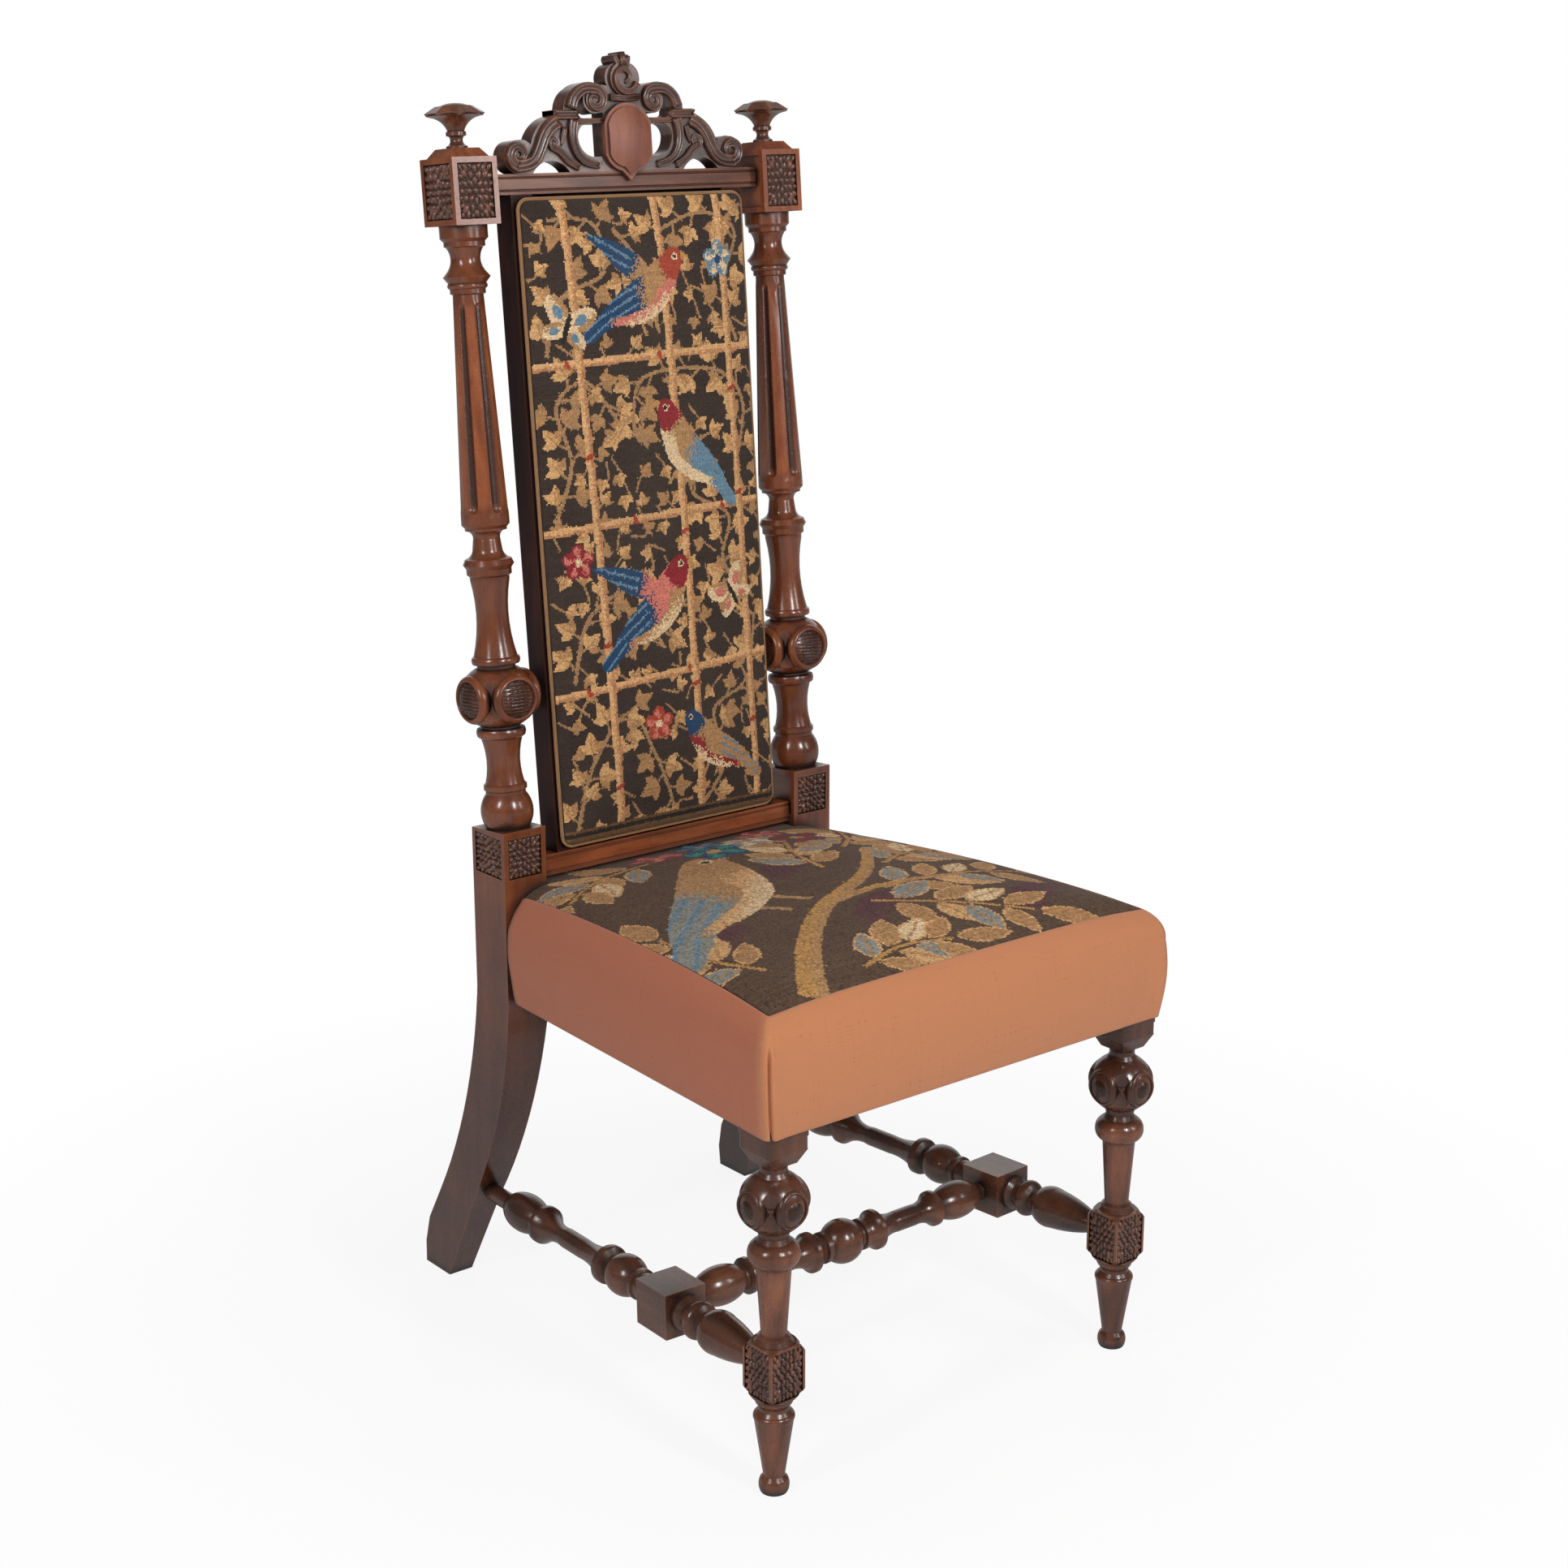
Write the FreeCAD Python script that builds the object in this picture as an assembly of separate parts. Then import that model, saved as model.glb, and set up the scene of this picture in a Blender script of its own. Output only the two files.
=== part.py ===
import FreeCAD, Part
import math
import os

V = FreeCAD.Vector

# Upholstered side chair with a raked, turned and carved back, in millimetres.
# The front faces -Y, +Z is up, and the origin is on the floor under the middle of the whole chair.

# Overall sizes
DEPTH = 589.0
HEIGHT = 1168.0
SEAT_HEIGHT = 430.0
SEAT_FRONT_HALF = 229.5
SEAT_REAR_HALF = 190.0
SEAT_FRONT_Y = -DEPTH / 2
REAR_FOOT_BACK_Y = DEPTH / 2

# Heights of the seat frame
STUFFING_HEIGHT = 34.0
RAIL_HEIGHT = 64.5
RAIL_TOP_Z = SEAT_HEIGHT - STUFFING_HEIGHT
RAIL_LOW_Z = RAIL_TOP_Z - RAIL_HEIGHT

# Clearances
JOINT_GAP = 0.2
TENON_END_GAP = 1.0
CLOTH_GAP = 0.3

# Back posts
POST_X = 172.0
BLOCK_WIDTH = 46.0
BLOCK_DEPTH = 53.0
POST_INNER_X = POST_X - BLOCK_WIDTH / 2
POST_OUTER_X = POST_X + BLOCK_WIDTH / 2
POST_SET_BACK = 157.0
POST_FRONT_Y = REAR_FOOT_BACK_Y - POST_SET_BACK
POST_BACK_Y = POST_FRONT_Y + BLOCK_DEPTH
POST_AXIS_Y = POST_FRONT_Y + BLOCK_DEPTH / 2
SEAT_BLOCK_RISE = 49.5
SEAT_BLOCK_TOP_Z = SEAT_HEIGHT + SEAT_BLOCK_RISE
SEAT_BLOCK_HEIGHT = 48.0
BACK_RAKE = 4.7
REAR_FOOT_DEPTH = 43.0
REAR_FOOT_INNER_X = 174.0
REAR_FOOT_OUTER_X = 200.0
SWEEP_DROP = 19.5
SWEEP_TOP_Z = RAIL_LOW_Z - SWEEP_DROP
CREST_HEIGHT = 104.3
TOP_RAIL_HEIGHT = 18.0
TOP_RAIL_END_S = (HEIGHT - SEAT_BLOCK_TOP_Z) / math.cos(math.radians(BACK_RAKE)) - CREST_HEIGHT
TOP_RAIL_S = TOP_RAIL_END_S - TOP_RAIL_HEIGHT
TOP_BLOCK_HEIGHT = 58.0
TOP_BLOCK_DROP = 24.5
TOP_BLOCK_S = TOP_RAIL_S - TOP_BLOCK_DROP
TOP_BLOCK_END_S = TOP_BLOCK_S + TOP_BLOCK_HEIGHT
PLINTH_WIDTH = 40.0
PLINTH_HEIGHT = 8.0
CARVED_RECESS = 2.2
CARVED_BORDER = 5.0
FLUTE_COUNT = 6
FLUTE_SHARE = 0.42
FLUTE_DEPTH_SHARE = 0.125
FLUTE_LOW = (296.0, 20.6)
FLUTE_HIGH = (TOP_BLOCK_S - 70.0, 14.6)
COLUMN_BALL_S = 122.5
COLUMN_BALL_RADIUS = 36.0
COLUMN_BALL_HALF_HEIGHT = 27.0

# Finials
FINIAL_RIM_RADIUS = 27.0
FINIAL_TOP_RADIUS = 17.0
FINIAL_SPIGOT_RADIUS = 5.0
FINIAL_SPIGOT_LENGTH = 22.0

# Front legs
LEG_SIDE_INSET = 25.5
LEG_X = SEAT_FRONT_HALF - LEG_SIDE_INSET
LEG_HEAD = 44.0
LEG_HEAD_ROUND = 6.0
LEG_INSET = 29.5
LEG_Y = SEAT_FRONT_Y + LEG_INSET
LEG_BLOCK = 37.0
LEG_BLOCK_LOW_Z = 89.0
LEG_BLOCK_TOP_Z = 139.0
LEG_BLOCK_CHAMFER = 8.0
LEG_CARVED_BORDER = 2.5
LEG_BALL_DROP = 67.5
LEG_BALL_Z = RAIL_LOW_Z - LEG_BALL_DROP
LEG_BALL_RADIUS = 29.0
LEG_BALL_HALF_HEIGHT = 24.5

# Stretchers
STRETCHER_DRAWN_LENGTH = 466.0
STRETCHER_BLOCK_AT = 130.0
STRETCHER_FRONT_Z = 114.5
STRETCHER_REAR = V(181.0, POST_FRONT_Y + 62.5, 103.0)
STRETCHER_BLOCK = 42.0
STRETCHER_BLOCK_LENGTH = 46.0
STRETCHER_END_RADIUS = 8.5
STRETCHER_TENON_RADIUS = 7.0
STRETCHER_TENON = 16.0

# Seat frame, drawn level and then tilted back
SEAT_TILT = 1.7
SHOULDER_SPARE = 5.0
RAIL_THICKNESS = 26.0
RAIL_FRONT_Y = LEG_Y - LEG_HEAD / 2
RAIL_FRONT_HALF = LEG_X + LEG_HEAD / 2
RAIL_REAR_HALF = SEAT_REAR_HALF - 2.5
BACK_RAIL_SET_BACK = 14.5
BACK_RAIL_Y = POST_FRONT_Y + BACK_RAIL_SET_BACK
TENON_THICKNESS = 10.0
TENON_HEIGHT = 44.0
TENON_LENGTH = 18.0
CORNER_BLOCK_LEG = 68.0
CORNER_BLOCK_LOW_Z = RAIL_LOW_Z + 6.5
CORNER_BLOCK_TOP_Z = RAIL_TOP_Z - 8.0
SCREW_RADIUS = 2.2
SCREW_HEAD_RADIUS = 4.2
SCREW_LENGTH = 34.0
SCREW_SINK = 12.0

# Seat upholstery
CLOTH = 1.5
SEAT_LOW_Z = RAIL_LOW_Z - CLOTH - 0.5
SEAM_Z = SEAT_HEIGHT
SEAT_BULGE = 5.0
SEAT_LOW_FRONT_Y = SEAT_FRONT_Y + SEAT_BULGE
SEAT_REAR_Y = POST_FRONT_Y - 5.0
SEAT_TONGUE_HALF = POST_INNER_X - 1.0
SEAT_TONGUE_Y = BACK_RAIL_Y + RAIL_THICKNESS + CLOTH + CLOTH_GAP
SEAT_TONGUE_TOP_Z = SEAT_HEIGHT + 10.0
SEAT_CROWN_Z = SEAT_HEIGHT + 20.0
SEAT_CROWN_RISE = 17.0
SEAT_CROWN_RUN = 200.0
SEAT_ROLL_Z = SEAT_HEIGHT - 28.0
SEAT_ROLL_WIDTH = 34.0
SEAT_ROLL_HEIGHT = 32.0
REAR_CORNER_RADIUS = 8.0
BAND_LIP = 13.0
STUFFING_LOW_Z = RAIL_LOW_Z + 20.5
HESSIAN = 1.0
HESSIAN_INSET = 4.0
WEB_WIDTH = 50.0
WEB_THICKNESS = 1.5
DUST_COVER = 1.0
DUST_COVER_INSET = 5.0
SPRING_WIRE_RADIUS = 1.8
SPRING_END_RADIUS = 34.0
SPRING_WAIST_RADIUS = 22.0
SPRING_TURNS = 4
TACK_HEAD_RADIUS = 3.5
TACK_HEAD_HEIGHT = 1.4
TACK_SHANK_RADIUS = 0.9
TACK_SHANK_LENGTH = 11.0

# Back frame and its upholstery: v is measured from the post axis, front negative, and s up the rake
BACK_RAIL_FRONT_V = -15.0
BACK_RAIL_BACK_V = 11.0
BOTTOM_RAIL_S = -51.0
BOTTOM_RAIL_HEIGHT = 20.0
BOTTOM_RAIL_END_S = BOTTOM_RAIL_S + BOTTOM_RAIL_HEIGHT
STILE_OUTER_X = 129.5
STILE_WIDTH = 22.0
PANEL_HALF = STILE_OUTER_X - 0.5
PANEL_MARGIN = 1.0
PAD_CROWN = 8.0
PAD_EDGE = 2.0
GIMP_WIDTH = 5.0
GIMP_HEIGHT = 3.0

# Cresting
CREST_FRONT_V = BACK_RAIL_FRONT_V
CREST_THICKNESS = 18.0
CREST_REACH = POST_INNER_X - 15.5
CREST_RELIEF = 1.5
CREST_KNOT_RADIUS = 20.0
SHIELD_HALF_WIDTH = 26.0
SHIELD_THICKNESS = 9.0
SHIELD_BORDER = 3.5
SHIELD_BORDER_THICKNESS = 4.5
SHIELD_DOME_RADIUS = 130.0
CREST_DOWEL_RADIUS = 4.0
CREST_DOWEL_LENGTH = 24.0
CREST_DOWEL_X = 56.0


def box(x0, x1, y0, y1, z0, z1):
    return Part.makeBox(x1 - x0, y1 - y0, z1 - z0, V(x0, y0, z0))


def rake(shape):
    """Moves a shape from the back's own x, v, s frame onto the raked post axis."""
    placed = shape.copy()
    tilt = FreeCAD.Rotation(V(1, 0, 0), -BACK_RAKE)
    placed.Placement = FreeCAD.Placement(V(0, POST_AXIS_Y, SEAT_BLOCK_TOP_Z), tilt).multiply(placed.Placement)
    return placed


def tilt(shape):
    """Tips a piece of the seat back about the lower front edge of its frame."""
    placed = shape.copy()
    placed.rotate(V(0, RAIL_FRONT_Y, RAIL_LOW_Z), V(1, 0, 0), -SEAT_TILT)
    return placed


def mirrored(shape):
    return shape.mirror(V(0, 0, 0), V(1, 0, 0))


def path_edges(start, steps):
    """Edges from start through steps: a point makes a line, a pair of points an arc through the first."""
    edges = []
    here = start
    for step in steps:
        if isinstance(step, tuple):
            edges.append(Part.Arc(here, step[0], step[1]).toShape())
            here = step[1]
        else:
            edges.append(Part.makeLine(here, step))
            here = step
    return edges


def turned(profile):
    """Solid turned about Z; the profile holds (radius, height) points and pairs of them for arcs."""
    def at(point):
        return V(point[0], 0, point[1])
    steps = [at(p) if not isinstance(p[0], tuple) else (at(p[0]), at(p[1])) for p in profile]
    low = V(0, 0, profile[0][1])
    last = steps[-1][1] if isinstance(steps[-1], tuple) else steps[-1]
    edges = path_edges(low, steps + [V(0, 0, last.z), low])
    return Part.Face(Part.Wire(edges)).revolve(V(0, 0, 0), V(0, 0, 1), 360)


def square_prism(width, depth, low, high):
    return box(-width / 2, width / 2, -depth / 2, depth / 2, low, high)


def rounded_post(width, radius, low, high):
    """Square post about Z with rounded arrises."""
    h = width / 2
    outline = round_corners([(-h, -h), (h, -h), (h, h), (-h, h)], [radius] * 4, low)
    return Part.Face(outline).extrude(V(0, 0, high - low))


def tapered_square(low_width, low, high_width, high):
    """Four-sided frustum about Z."""
    def ring(width, z):
        h = width / 2
        return Part.makePolygon([V(-h, -h, z), V(h, -h, z), V(h, h, z), V(-h, h, z), V(-h, -h, z)])
    return Part.makeLoft([ring(low_width, low), ring(high_width, high)], True, True)


def round_corners(corners, radii, z):
    """Closed wire in the plane at z: straight sides between corners rounded with the given radii."""
    count = len(corners)
    points = [V(x, y, z) for x, y in corners]
    ends = []
    for i in range(count):
        before = points[i - 1] - points[i]
        after = points[(i + 1) % count] - points[i]
        before.normalize()
        after.normalize()
        half = before.getAngle(after) / 2
        reach = radii[i] / math.tan(half)
        middle = before + after
        middle.normalize()
        dip = radii[i] / math.sin(half) - radii[i]
        ends.append((points[i] + before * reach, points[i] + middle * dip, points[i] + after * reach))
    edges = []
    for i in range(count):
        if radii[i]:
            edges.append(Part.Arc(*ends[i]).toShape())
        edges.append(Part.makeLine(ends[i][2], ends[(i + 1) % count][0]))
    return Part.Wire(edges)


def carved_ball_hollows(centre, radius):
    """Four upright hollows that part the ball of a post or leg into lobes on its four faces."""
    cutter_radius = radius * 0.36
    hollows = []
    for turn in range(4):
        angle = math.radians(45 + 90 * turn)
        reach = radius * 1.16
        middle = V(reach * math.cos(angle), reach * math.sin(angle), centre - radius)
        hollows.append(Part.makeCylinder(cutter_radius, 2 * radius, middle))
    return Part.makeCompound(hollows)


def carved_recesses(width, depth, low, high, side):
    """Shallow sunk panels on the four faces of a square block about Z, inside a border as wide as side."""
    cut = CARVED_RECESS
    across = width / 2 - side
    along = depth / 2 - side
    faces = []
    for sign in (-1, 1):
        y0, y1 = sorted((sign * depth / 2, sign * (depth / 2 - cut)))
        x0, x1 = sorted((sign * width / 2, sign * (width / 2 - cut)))
        faces.append(box(-across, across, y0, y1, low + side, high - side))
        faces.append(box(x0, x1, -along, along, low + side, high - side))
    return Part.makeCompound(faces)


def flutes():
    """Round-ended tapering flutes on the upper column, narrower than the ridges between them."""
    def cutter(end):
        s, radius = end
        half = math.pi * radius / FLUTE_COUNT * FLUTE_SHARE
        depth = radius * FLUTE_DEPTH_SHARE
        cut = (half ** 2 + depth ** 2) / (2 * depth)
        return V(radius + cut - depth, 0, s), cut
    low, low_cut = cutter(FLUTE_LOW)
    high, high_cut = cutter(FLUTE_HIGH)
    axis = high - low
    groove = Part.makeCone(low_cut, high_cut, axis.Length, low, axis)
    groove = groove.fuse([Part.makeSphere(low_cut, low), Part.makeSphere(high_cut, high)])
    grooves = []
    for i in range(FLUTE_COUNT):
        turned_groove = groove.copy()
        turned_groove.rotate(V(0, 0, 0), V(0, 0, 1), (i + 0.5) * 360 / FLUTE_COUNT)
        grooves.append(turned_groove)
    return Part.makeCompound(grooves)


def column():
    """The turned column from the seat block to the top block, about Z, with s as height."""
    ball_low = COLUMN_BALL_S - COLUMN_BALL_HALF_HEIGHT
    ball_high = COLUMN_BALL_S + COLUMN_BALL_HALF_HEIGHT
    top = TOP_BLOCK_S
    shaft = turned([
        (20, 0), ((24.4, 16), (18.5, 32)), (18.5, 35), (20, 36), (20, 40), (18, 42),
        ((15.5, 62), (19, 84)), (22, 86), ((22.8, 89.5), (22, 93)), (17.5, 94), (17.5, ball_low),
        ((COLUMN_BALL_RADIUS, COLUMN_BALL_S), (17.5, ball_high)), (17.5, 152), (21.5, 153),
        ((22.3, 156), (21.5, 159)), (20, 160), ((15, 208), (18, 230)), (18, 233), (20.5, 235), (20.5, 240),
        (23.2, 244), (21, 249), ((16, 252), (13.5, 258)), (12.5, 266), ((13.5, 272), (19, 275)), (19, 277),
        (21.8, 280), (21.8, 287), (13.8, top - 60), (16, top - 59), (16, top - 55),
        ((18, top - 52.5), (17, top - 50)), (21.3, top - 44.5), (17.5, top - 40),
        ((13.5, top - 31), (16.5, top - 19)), (18.5, top - 18), (18.5, top - 14), (21.5, top - 11),
        (21.5, top)])
    shaft = shaft.cut(flutes())
    return shaft.cut(carved_ball_hollows(COLUMN_BALL_S, COLUMN_BALL_RADIUS))


def top_block():
    block = square_prism(BLOCK_WIDTH, BLOCK_DEPTH, TOP_BLOCK_S, TOP_BLOCK_END_S)
    block = block.cut(carved_recesses(BLOCK_WIDTH, BLOCK_DEPTH, TOP_BLOCK_S, TOP_BLOCK_END_S, CARVED_BORDER))
    plinth = tapered_square(PLINTH_WIDTH, TOP_BLOCK_END_S, PLINTH_WIDTH - 12, TOP_BLOCK_END_S + PLINTH_HEIGHT)
    return block.fuse(plinth)


def finial_spigot(gap):
    top = TOP_BLOCK_END_S + PLINTH_HEIGHT
    length = FINIAL_SPIGOT_LENGTH + gap * TENON_END_GAP / JOINT_GAP
    return Part.makeCylinder(FINIAL_SPIGOT_RADIUS + gap, length, V(0, 0, top - length))


def rear_leg():
    """Swept leg sawn from the side and tapered from the front, with the seat block at its top."""
    drop = BLOCK_DEPTH / 2 * math.tan(math.radians(BACK_RAKE))
    front_foot = REAR_FOOT_BACK_Y - REAR_FOOT_DEPTH

    def side(y, z):
        return V(POST_INNER_X, y, z)
    heel = REAR_FOOT_BACK_Y
    edges = path_edges(side(front_foot, 0), [
        side(heel - 89.5, 95), (side(heel - 134.5, 195), side(POST_FRONT_Y, SWEEP_TOP_Z)),
        side(POST_FRONT_Y, SEAT_BLOCK_TOP_Z + drop), side(POST_BACK_Y, SEAT_BLOCK_TOP_Z - drop),
        side(POST_BACK_Y, SWEEP_TOP_Z + 10), (side(heel - 80.5, 201), side(heel - 31.5, 91)),
        side(heel - 7.5, 50), side(heel, 22), side(heel, 0), side(front_foot, 0)])
    sawn = Part.Face(Part.Wire(edges)).extrude(V(REAR_FOOT_OUTER_X - POST_INNER_X, 0, 0))

    def front(x, z):
        return V(x, 0, z)
    taper = Part.makePolygon([
        front(REAR_FOOT_INNER_X, 0), front(REAR_FOOT_OUTER_X, 0), front(POST_OUTER_X, SWEEP_TOP_Z),
        front(POST_OUTER_X, HEIGHT), front(POST_INNER_X, HEIGHT), front(POST_INNER_X, SWEEP_TOP_Z),
        front(REAR_FOOT_INNER_X, 0)])
    leg = sawn.common(Part.Face(taper).extrude(V(0, DEPTH, 0)))
    block_low = SEAT_BLOCK_TOP_Z - SEAT_BLOCK_HEIGHT
    recesses = carved_recesses(BLOCK_WIDTH, BLOCK_DEPTH, block_low, SEAT_BLOCK_TOP_Z, CARVED_BORDER)
    recesses.translate(V(POST_X, POST_AXIS_Y, 0))
    return leg.cut(recesses)


def right_back_post():
    upper = column().fuse(top_block()).cut(finial_spigot(JOINT_GAP))
    upper.translate(V(POST_X, 0, 0))
    post = rear_leg().fuse(rake(upper))
    for mortise in (back_rail_tenons(TOP_RAIL_S, TOP_RAIL_HEIGHT, JOINT_GAP),
                    back_rail_tenons(BOTTOM_RAIL_S, BOTTOM_RAIL_HEIGHT, JOINT_GAP)):
        post = post.cut(rake(mortise))
    post = post.cut(tilt(side_rail_rear_tenon(JOINT_GAP))).cut(tilt(back_seat_rail_tenons(JOINT_GAP)))
    return post.cut(side_stretcher_tenons(JOINT_GAP)).removeSplitter()


def right_finial():
    base = TOP_BLOCK_END_S + PLINTH_HEIGHT
    stem = turned([
        (9.5, base), (9.5, base + 2), ((5.7, base + 6), (6.5, base + 10)), (9, base + 11), (9, base + 14),
        (7.5, base + 15), ((12, base + 22), (22, base + 27)), (FINIAL_RIM_RADIUS - 2, base + 28)])

    def octagon(radius, s):
        return Part.makePolygon([V(radius * math.cos(math.pi / 8 + i * math.pi / 4),
                                   radius * math.sin(math.pi / 8 + i * math.pi / 4), s) for i in range(9)])
    rim = Part.makeLoft([octagon(FINIAL_RIM_RADIUS - 2, base + 27.5), octagon(FINIAL_RIM_RADIUS, base + 30),
                         octagon(FINIAL_TOP_RADIUS, base + 36)], True, True)
    button = turned([(13, base + 36), ((8, base + 38), (0.5, base + 38.5))])
    finial = stem.fuse(rim).fuse(button).fuse(finial_spigot(0))
    finial.translate(V(POST_X, 0, 0))
    return rake(finial).removeSplitter()


def leg_block():
    """Carved block of the front leg, its corners turned away at both ends."""
    end, whole = LEG_BLOCK / 2 + 0.5, LEG_BLOCK * 0.72
    block = square_prism(LEG_BLOCK, LEG_BLOCK, LEG_BLOCK_LOW_Z, LEG_BLOCK_TOP_Z)
    block = block.common(turned([
        (end, LEG_BLOCK_LOW_Z), (whole, LEG_BLOCK_LOW_Z + LEG_BLOCK_CHAMFER),
        (whole, LEG_BLOCK_TOP_Z - LEG_BLOCK_CHAMFER), (end, LEG_BLOCK_TOP_Z)]))
    panels = carved_recesses(LEG_BLOCK, LEG_BLOCK, LEG_BLOCK_LOW_Z, LEG_BLOCK_TOP_Z, LEG_CARVED_BORDER)
    return block.cut(panels)


def right_front_leg():
    ball_low = LEG_BALL_Z - LEG_BALL_HALF_HEIGHT
    ball_high = LEG_BALL_Z + LEG_BALL_HALF_HEIGHT
    ball = LEG_BALL_Z
    neck = LEG_BLOCK_TOP_Z
    lower = turned([
        (11.5, 0), ((13.2, 6), (12, 12)), (9.2, 15), (17, 68), ((17.8, 71), (15.5, 74)), (13.3, 77),
        (13.3, 80), (16, 84), (17.5, LEG_BLOCK_LOW_Z)])
    upper = turned([
        (17, neck), (14, neck + 3), (14, neck + 5), (11, neck + 7), (15, ball - 58), (15, ball - 56),
        ((19.5, ball - 53), (22.3, ball - 45)), ((20, ball - 38), (14.5, ball - 34)), (12.6, ball - 30),
        (14, ball_low), ((LEG_BALL_RADIUS, ball), (14, ball_high)), (11.5, ball + 28), (11.5, ball + 32),
        (13, ball + 35)])
    upper = upper.cut(carved_ball_hollows(LEG_BALL_Z, LEG_BALL_RADIUS))
    block = leg_block()
    cap = tapered_square(27, ball + 35, LEG_HEAD - 4, ball + 48)
    collar = rounded_post(LEG_HEAD - 2, LEG_HEAD_ROUND - 1, ball + 48, ball + 60)
    head = rounded_post(LEG_HEAD, LEG_HEAD_ROUND, ball + 60, RAIL_TOP_Z - 2.5)
    leg = lower.fuse([upper, block, cap, collar, head])
    leg.translate(V(LEG_X, LEG_Y, 0))
    leg = leg.cut(tilt(front_rail_tenons(JOINT_GAP))).cut(tilt(side_rail_front_tenon(JOINT_GAP)))
    return leg.cut(side_stretcher_tenons(JOINT_GAP)).removeSplitter()


def stretcher_axis():
    start = V(LEG_X, LEG_Y, STRETCHER_FRONT_Z)
    return start, STRETCHER_REAR - start


def block_start():
    """Distance along the real stretcher to its block."""
    return STRETCHER_BLOCK_AT * stretcher_axis()[1].Length / STRETCHER_DRAWN_LENGTH


def on_stretcher(shape):
    """Lays a shape made about Z along the right side stretcher, its block kept level."""
    start, run = stretcher_axis()
    level = V(1, 0, 0) - run * (run.x / run.Length ** 2)
    placed = shape.copy()
    placed.Placement = FreeCAD.Placement(start, FreeCAD.Rotation(level, V(0, 0, 0), run, "ZXY"))
    return placed


def side_stretcher_tenons(gap):
    start, run = stretcher_axis()
    front_end = LEG_BLOCK / 2 - STRETCHER_TENON
    length = run.Length + STRETCHER_TENON - front_end
    extra = gap * TENON_END_GAP / JOINT_GAP
    bore = Part.makeCylinder(STRETCHER_TENON_RADIUS + gap, length + 2 * extra, V(0, 0, front_end - extra))
    return on_stretcher(bore)


def right_side_stretcher():
    """Turned rail with a square block, its beads drawn on one length and spread along the real one."""
    end = stretcher_axis()[1].Length - 1.5
    tip = STRETCHER_END_RADIUS
    block_low = block_start()
    block_high = block_low + STRETCHER_BLOCK_LENGTH

    def at(radius, drawn):
        return radius, drawn * stretcher_axis()[1].Length / STRETCHER_DRAWN_LENGTH
    front = turned([
        (tip, LEG_BLOCK / 2 + 1), at(tip, 26), (at(16, 52), at(19, 74)), (at(18, 88), at(11, 97)),
        at(11, 101), at(15.5, 104), (at(17.5, 109), at(15.5, 114)), at(12, 117), at(12, 122), at(16, 126),
        (16, block_low)])
    rear = turned([
        (16, block_high), (16, block_high + 4), at(12.5, 186), at(12.5, 198), at(14.5, 199), at(14.5, 203),
        at(12, 204), at(12, 207), (at(19.3, 225), at(12, 243)), at(12, 246), at(17.5, 249), at(18.2, 251),
        at(18.2, 256), at(14.5, 259), (at(10.5, 274), at(9.5, 296)), at(9.5, 326), (at(11, 348), at(17, 360)),
        at(18.2, 362), at(18.2, 367), at(12, 370), at(12, 375), (at(18.6, 396), at(tip, 428)), (tip, end)])
    block = square_prism(STRETCHER_BLOCK, STRETCHER_BLOCK, block_low, block_high)
    body = on_stretcher(front.fuse([rear, block])).fuse(side_stretcher_tenons(0))
    return body.cut(cross_stretcher_tenons(JOINT_GAP)).cut(leg_solids()).removeSplitter()


def leg_solids():
    return Part.makeCompound([solids["right_front_leg"], solids["right_back_post"]])


def cross_axis_point():
    start, run = stretcher_axis()
    run.normalize()
    return start + run * (block_start() + STRETCHER_BLOCK_LENGTH / 2)


def cross_stretcher_tenons(gap):
    centre = cross_axis_point()
    half = centre.x - STRETCHER_BLOCK / 2 + STRETCHER_TENON + gap * TENON_END_GAP / JOINT_GAP
    radius = STRETCHER_TENON_RADIUS + gap
    return Part.makeCylinder(radius, 2 * half, V(-half, centre.y, centre.z), V(1, 0, 0))


def cross_stretcher():
    centre = cross_axis_point()
    half = centre.x - STRETCHER_BLOCK / 2 - 1.5
    side = turned([
        (21, 0), ((18, 11), (12.5, 17.5)), (12.5, 20), (14.8, 21), (14.8, 25), (12.5, 26),
        ((14, 31), (18, 36)), (19, 37), (19, 41), (15.5, 43), ((11.5, 51), (10, 66)), (10, 88),
        ((11, 100), (16, 109)), (17, 110), (17, 114), (11.5, 116), (11.5, 119),
        ((17.5, 135), (STRETCHER_END_RADIUS, half - 4)), (STRETCHER_END_RADIUS, half)])
    side.rotate(V(0, 0, 0), V(0, 1, 0), 90)
    whole = side.fuse(mirrored(side))
    whole.translate(V(0, centre.y, centre.z))
    return whole.fuse(cross_stretcher_tenons(0)).removeSplitter()


def side_rail_x(y, inset):
    """The right seat rail's face at y, inset from its outer face."""
    run = (y - RAIL_FRONT_Y) / (POST_FRONT_Y - RAIL_FRONT_Y)
    return RAIL_FRONT_HALF + (RAIL_REAR_HALF - RAIL_FRONT_HALF) * run - inset


def tenon_z():
    middle = (RAIL_LOW_Z + RAIL_TOP_Z) / 2
    return middle - TENON_HEIGHT / 2, middle + TENON_HEIGHT / 2


def front_rail_tenons(gap):
    low, high = tenon_z()
    reach = LEG_X - LEG_HEAD / 2 + TENON_LENGTH + gap * TENON_END_GAP / JOINT_GAP
    middle = RAIL_FRONT_Y + RAIL_THICKNESS / 2
    half = TENON_THICKNESS / 2 + gap
    return box(-reach, reach, middle - half, middle + half, low - gap, high + gap)


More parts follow.
